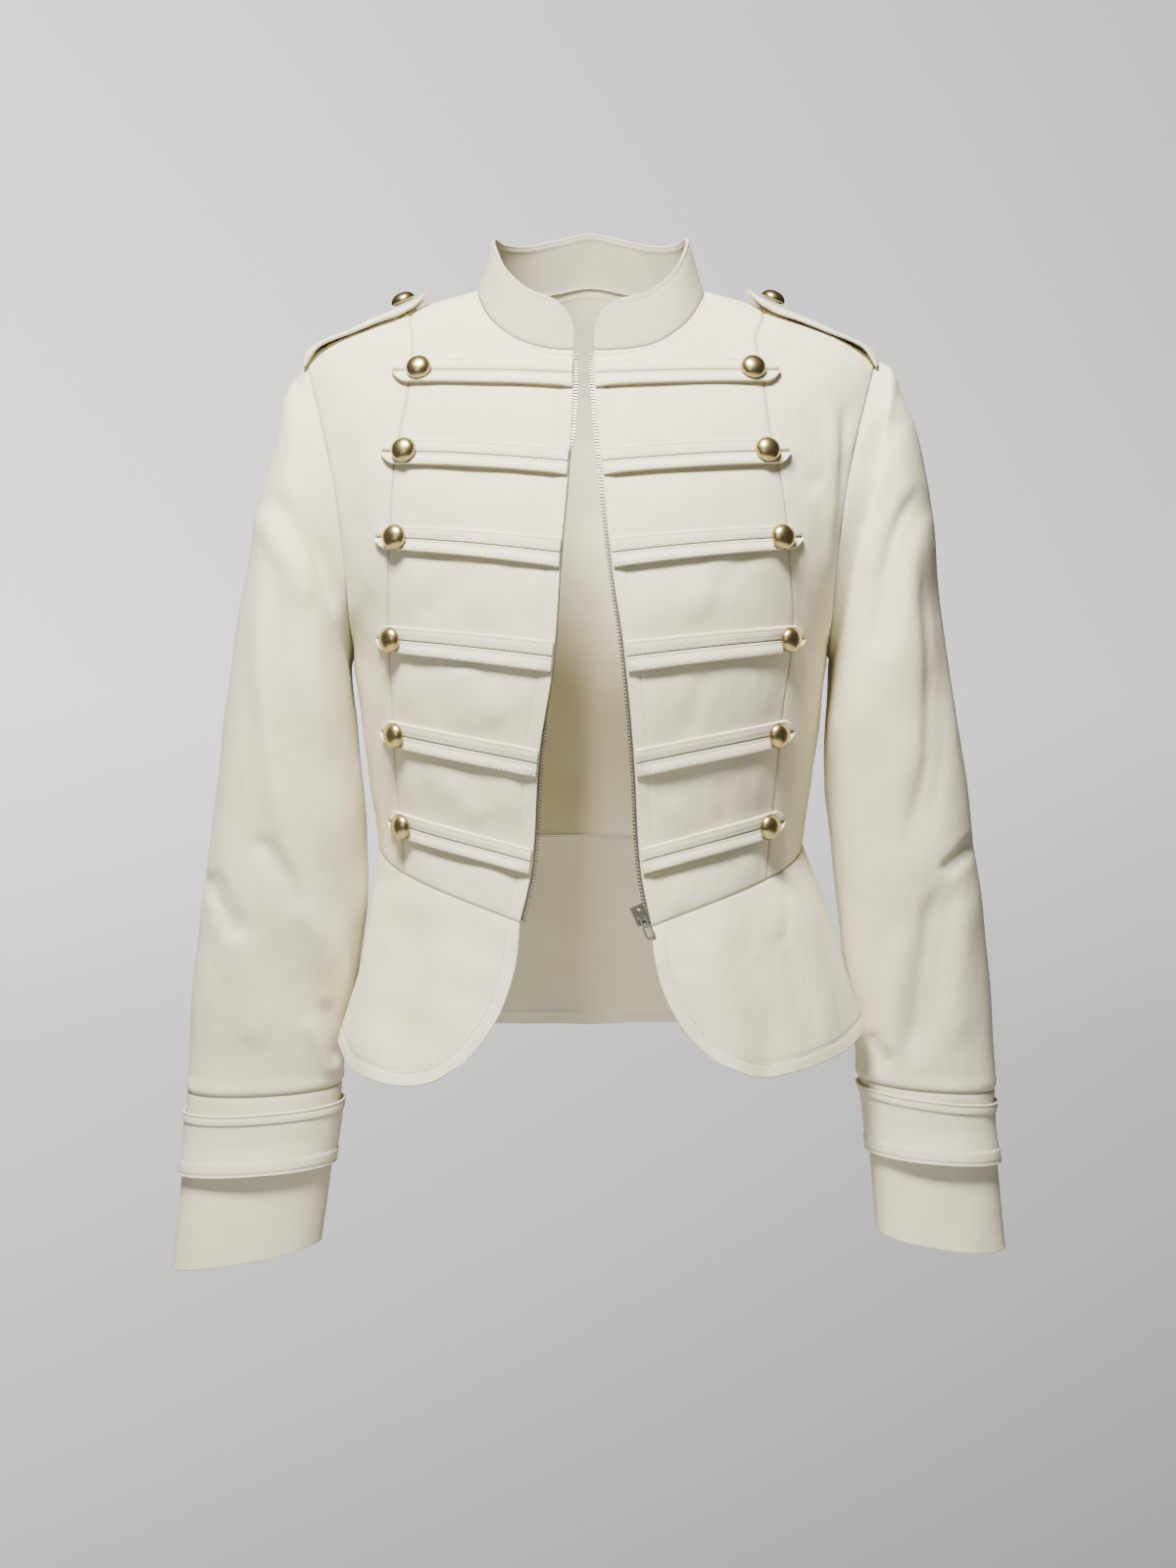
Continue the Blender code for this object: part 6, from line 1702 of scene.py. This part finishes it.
def sewAll():
    for number, (group, lines) in enumerate(sorted(stitchLines.items())):
        repeatAlong(f"stitches_{group}", trees["stitch"], lines, {
            "Pitch": stitchLook["pitch"], "Seed": 7 + number, "Smallest": stitchLook["smallest"],
            "Largest": stitchLook["largest"], "Thread": stitchLook["thread"],
            "Stretch": stitchLook["stretch"],
        }, "thread", "twill_trim")
        print("stitched", group)


# The whole jacket

def buildJacket():
    makeFinishes()
    trees["stitch"], trees["tooth"] = stitchTree(), toothTree()
    knots, rowAt = bodiceRows()
    for side in (-1, 1):
        p, n, edgeLine = buildFront(side, knots, rowAt)
        buildSidePanels(side, knots, rowAt)
        tabs = [buildTab(side, number, row) for number, row in enumerate(cut["tabRows"], start=1)]
        sewFrontEdge(side, edgeLine, p, n, tabs)
        for build in (buildSleeve, buildCuff, buildBand, buildStrap):
            build(side)
        buildZip(side, p, n)
        print("side built:", sideWord[side])
    buildBack(knots, rowAt)
    buildCollar()
    buildPeplum()
    print("back, collar and peplum built")
    for node in sorted(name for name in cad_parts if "button" in name):
        buildButton(node)
    for node in ("zip_slider", "zip_pull"):
        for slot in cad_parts[node].material_slots:
            slot.material = finishes["zip_metal"]
    print("buttons and slider ready")
    sewAll()


# Camera, floor and light

studio = {
    "camera": (-0.0017, -1.900, -0.3377), "lens": 63.81, "aim": (0, 0, -0.35),
    "lightColour": (1.0, 0.962, 0.865), "floor": -1.35, "floorRadius": 1.6, "floorCorners": 48,
    "floorTones": ((0.70, 0.69, 0.68), (0.76, 0.75, 0.74)),
    # share of the height range, then colour: the pale wall behind, and the dimmer room in front
    "wall": ((0.0, (0.66, 0.655, 0.65)), (0.35, (1.15, 1.14, 1.13)), (0.55, (1.75, 1.73, 1.715)),
             (1.0, (1.38, 1.36, 1.34))),
    "wallRange": (-0.30, 0.30), "wallFade": (1.08, 0.64), "fadeRange": (-0.20, 0.20),
    "room": (0.09, 0.09, 0.09), "roomRange": (0.86, 0.94),
    "lights": (
        # name, place, size, watts
        ("overhead", (-0.32, -1.15, 1.38), (0.6, 0.48), 176.0),
        ("front", (-0.80, -2.50, 0.20), (1.2, 1.2), 6.0),
    ),
}


def buildFloor():
    count, size = studio["floorCorners"], studio["floorRadius"]
    angles = [2 * math.pi * i / count for i in range(count)]
    mesh = bpy.data.meshes.new("floor")
    corners = [(size * math.cos(angle), size * math.sin(angle), studio["floor"]) for angle in angles]
    mesh.from_pydata(corners, [], [tuple(range(count))])
    material, tree, shader, place = startFinish("paleFloor")
    tone = mixColours(tree, noise(tree, place, 6.0, 4.0), *studio["floorTones"])
    setInputs(tree, shader, {"Base Color": tone, "Roughness": 0.8})
    mesh.materials.append(material)
    newObject("floor", mesh)


def buildWorld():
    world = bpy.data.worlds.new("studio")
    world.use_nodes = True
    bpy.context.scene.world = world
    tree = world.node_tree
    way = addNode(tree, "ShaderNodeTexCoord").outputs["Generated"]
    x, y, z = addNode(tree, "ShaderNodeSeparateXYZ", {"Vector": way}).outputs
    height = scaled(tree, z, 0.0, 1.0, *studio["wallRange"])
    ramp = addNode(tree, "ShaderNodeValToRGB", {"Fac": height})
    elements = ramp.color_ramp.elements
    while len(elements) < len(studio["wall"]):
        elements.new(0.5)
    for element, (share, colour) in zip(elements, studio["wall"]):
        element.position = share
        element.color = (*colour, 1.0)
    behind = scaled(tree, y, 0.0, 1.0, *studio["roomRange"])
    setInputs(tree, tree.nodes["Background"], {
        "Color": mixColours(tree, behind, studio["room"], ramp.outputs["Color"]),
        "Strength": scaled(tree, x, *studio["wallFade"], *studio["fadeRange"]),
    })


def buildStudio():
    cameraData = bpy.data.cameras.new("camera")
    cameraData.lens = studio["lens"]
    camera = newObject("camera", cameraData)
    camera.location = studio["camera"]
    camera.rotation_euler = (math.radians(90), 0, 0)
    bpy.context.scene.camera = camera
    buildFloor()
    for name, place, spread, watts in studio["lights"]:
        light = bpy.data.lights.new(name, "AREA")
        light.shape = "RECTANGLE"
        light.size, light.size_y = spread
        light.energy = watts
        light.color = studio["lightColour"]
        obj = newObject(name, light)
        obj.location = place
        obj.rotation_euler = (Vector(studio["aim"]) - Vector(place)).to_track_quat("-Z", "Y").to_euler()
    buildWorld()
    print("studio ready")


buildJacket()
buildStudio()
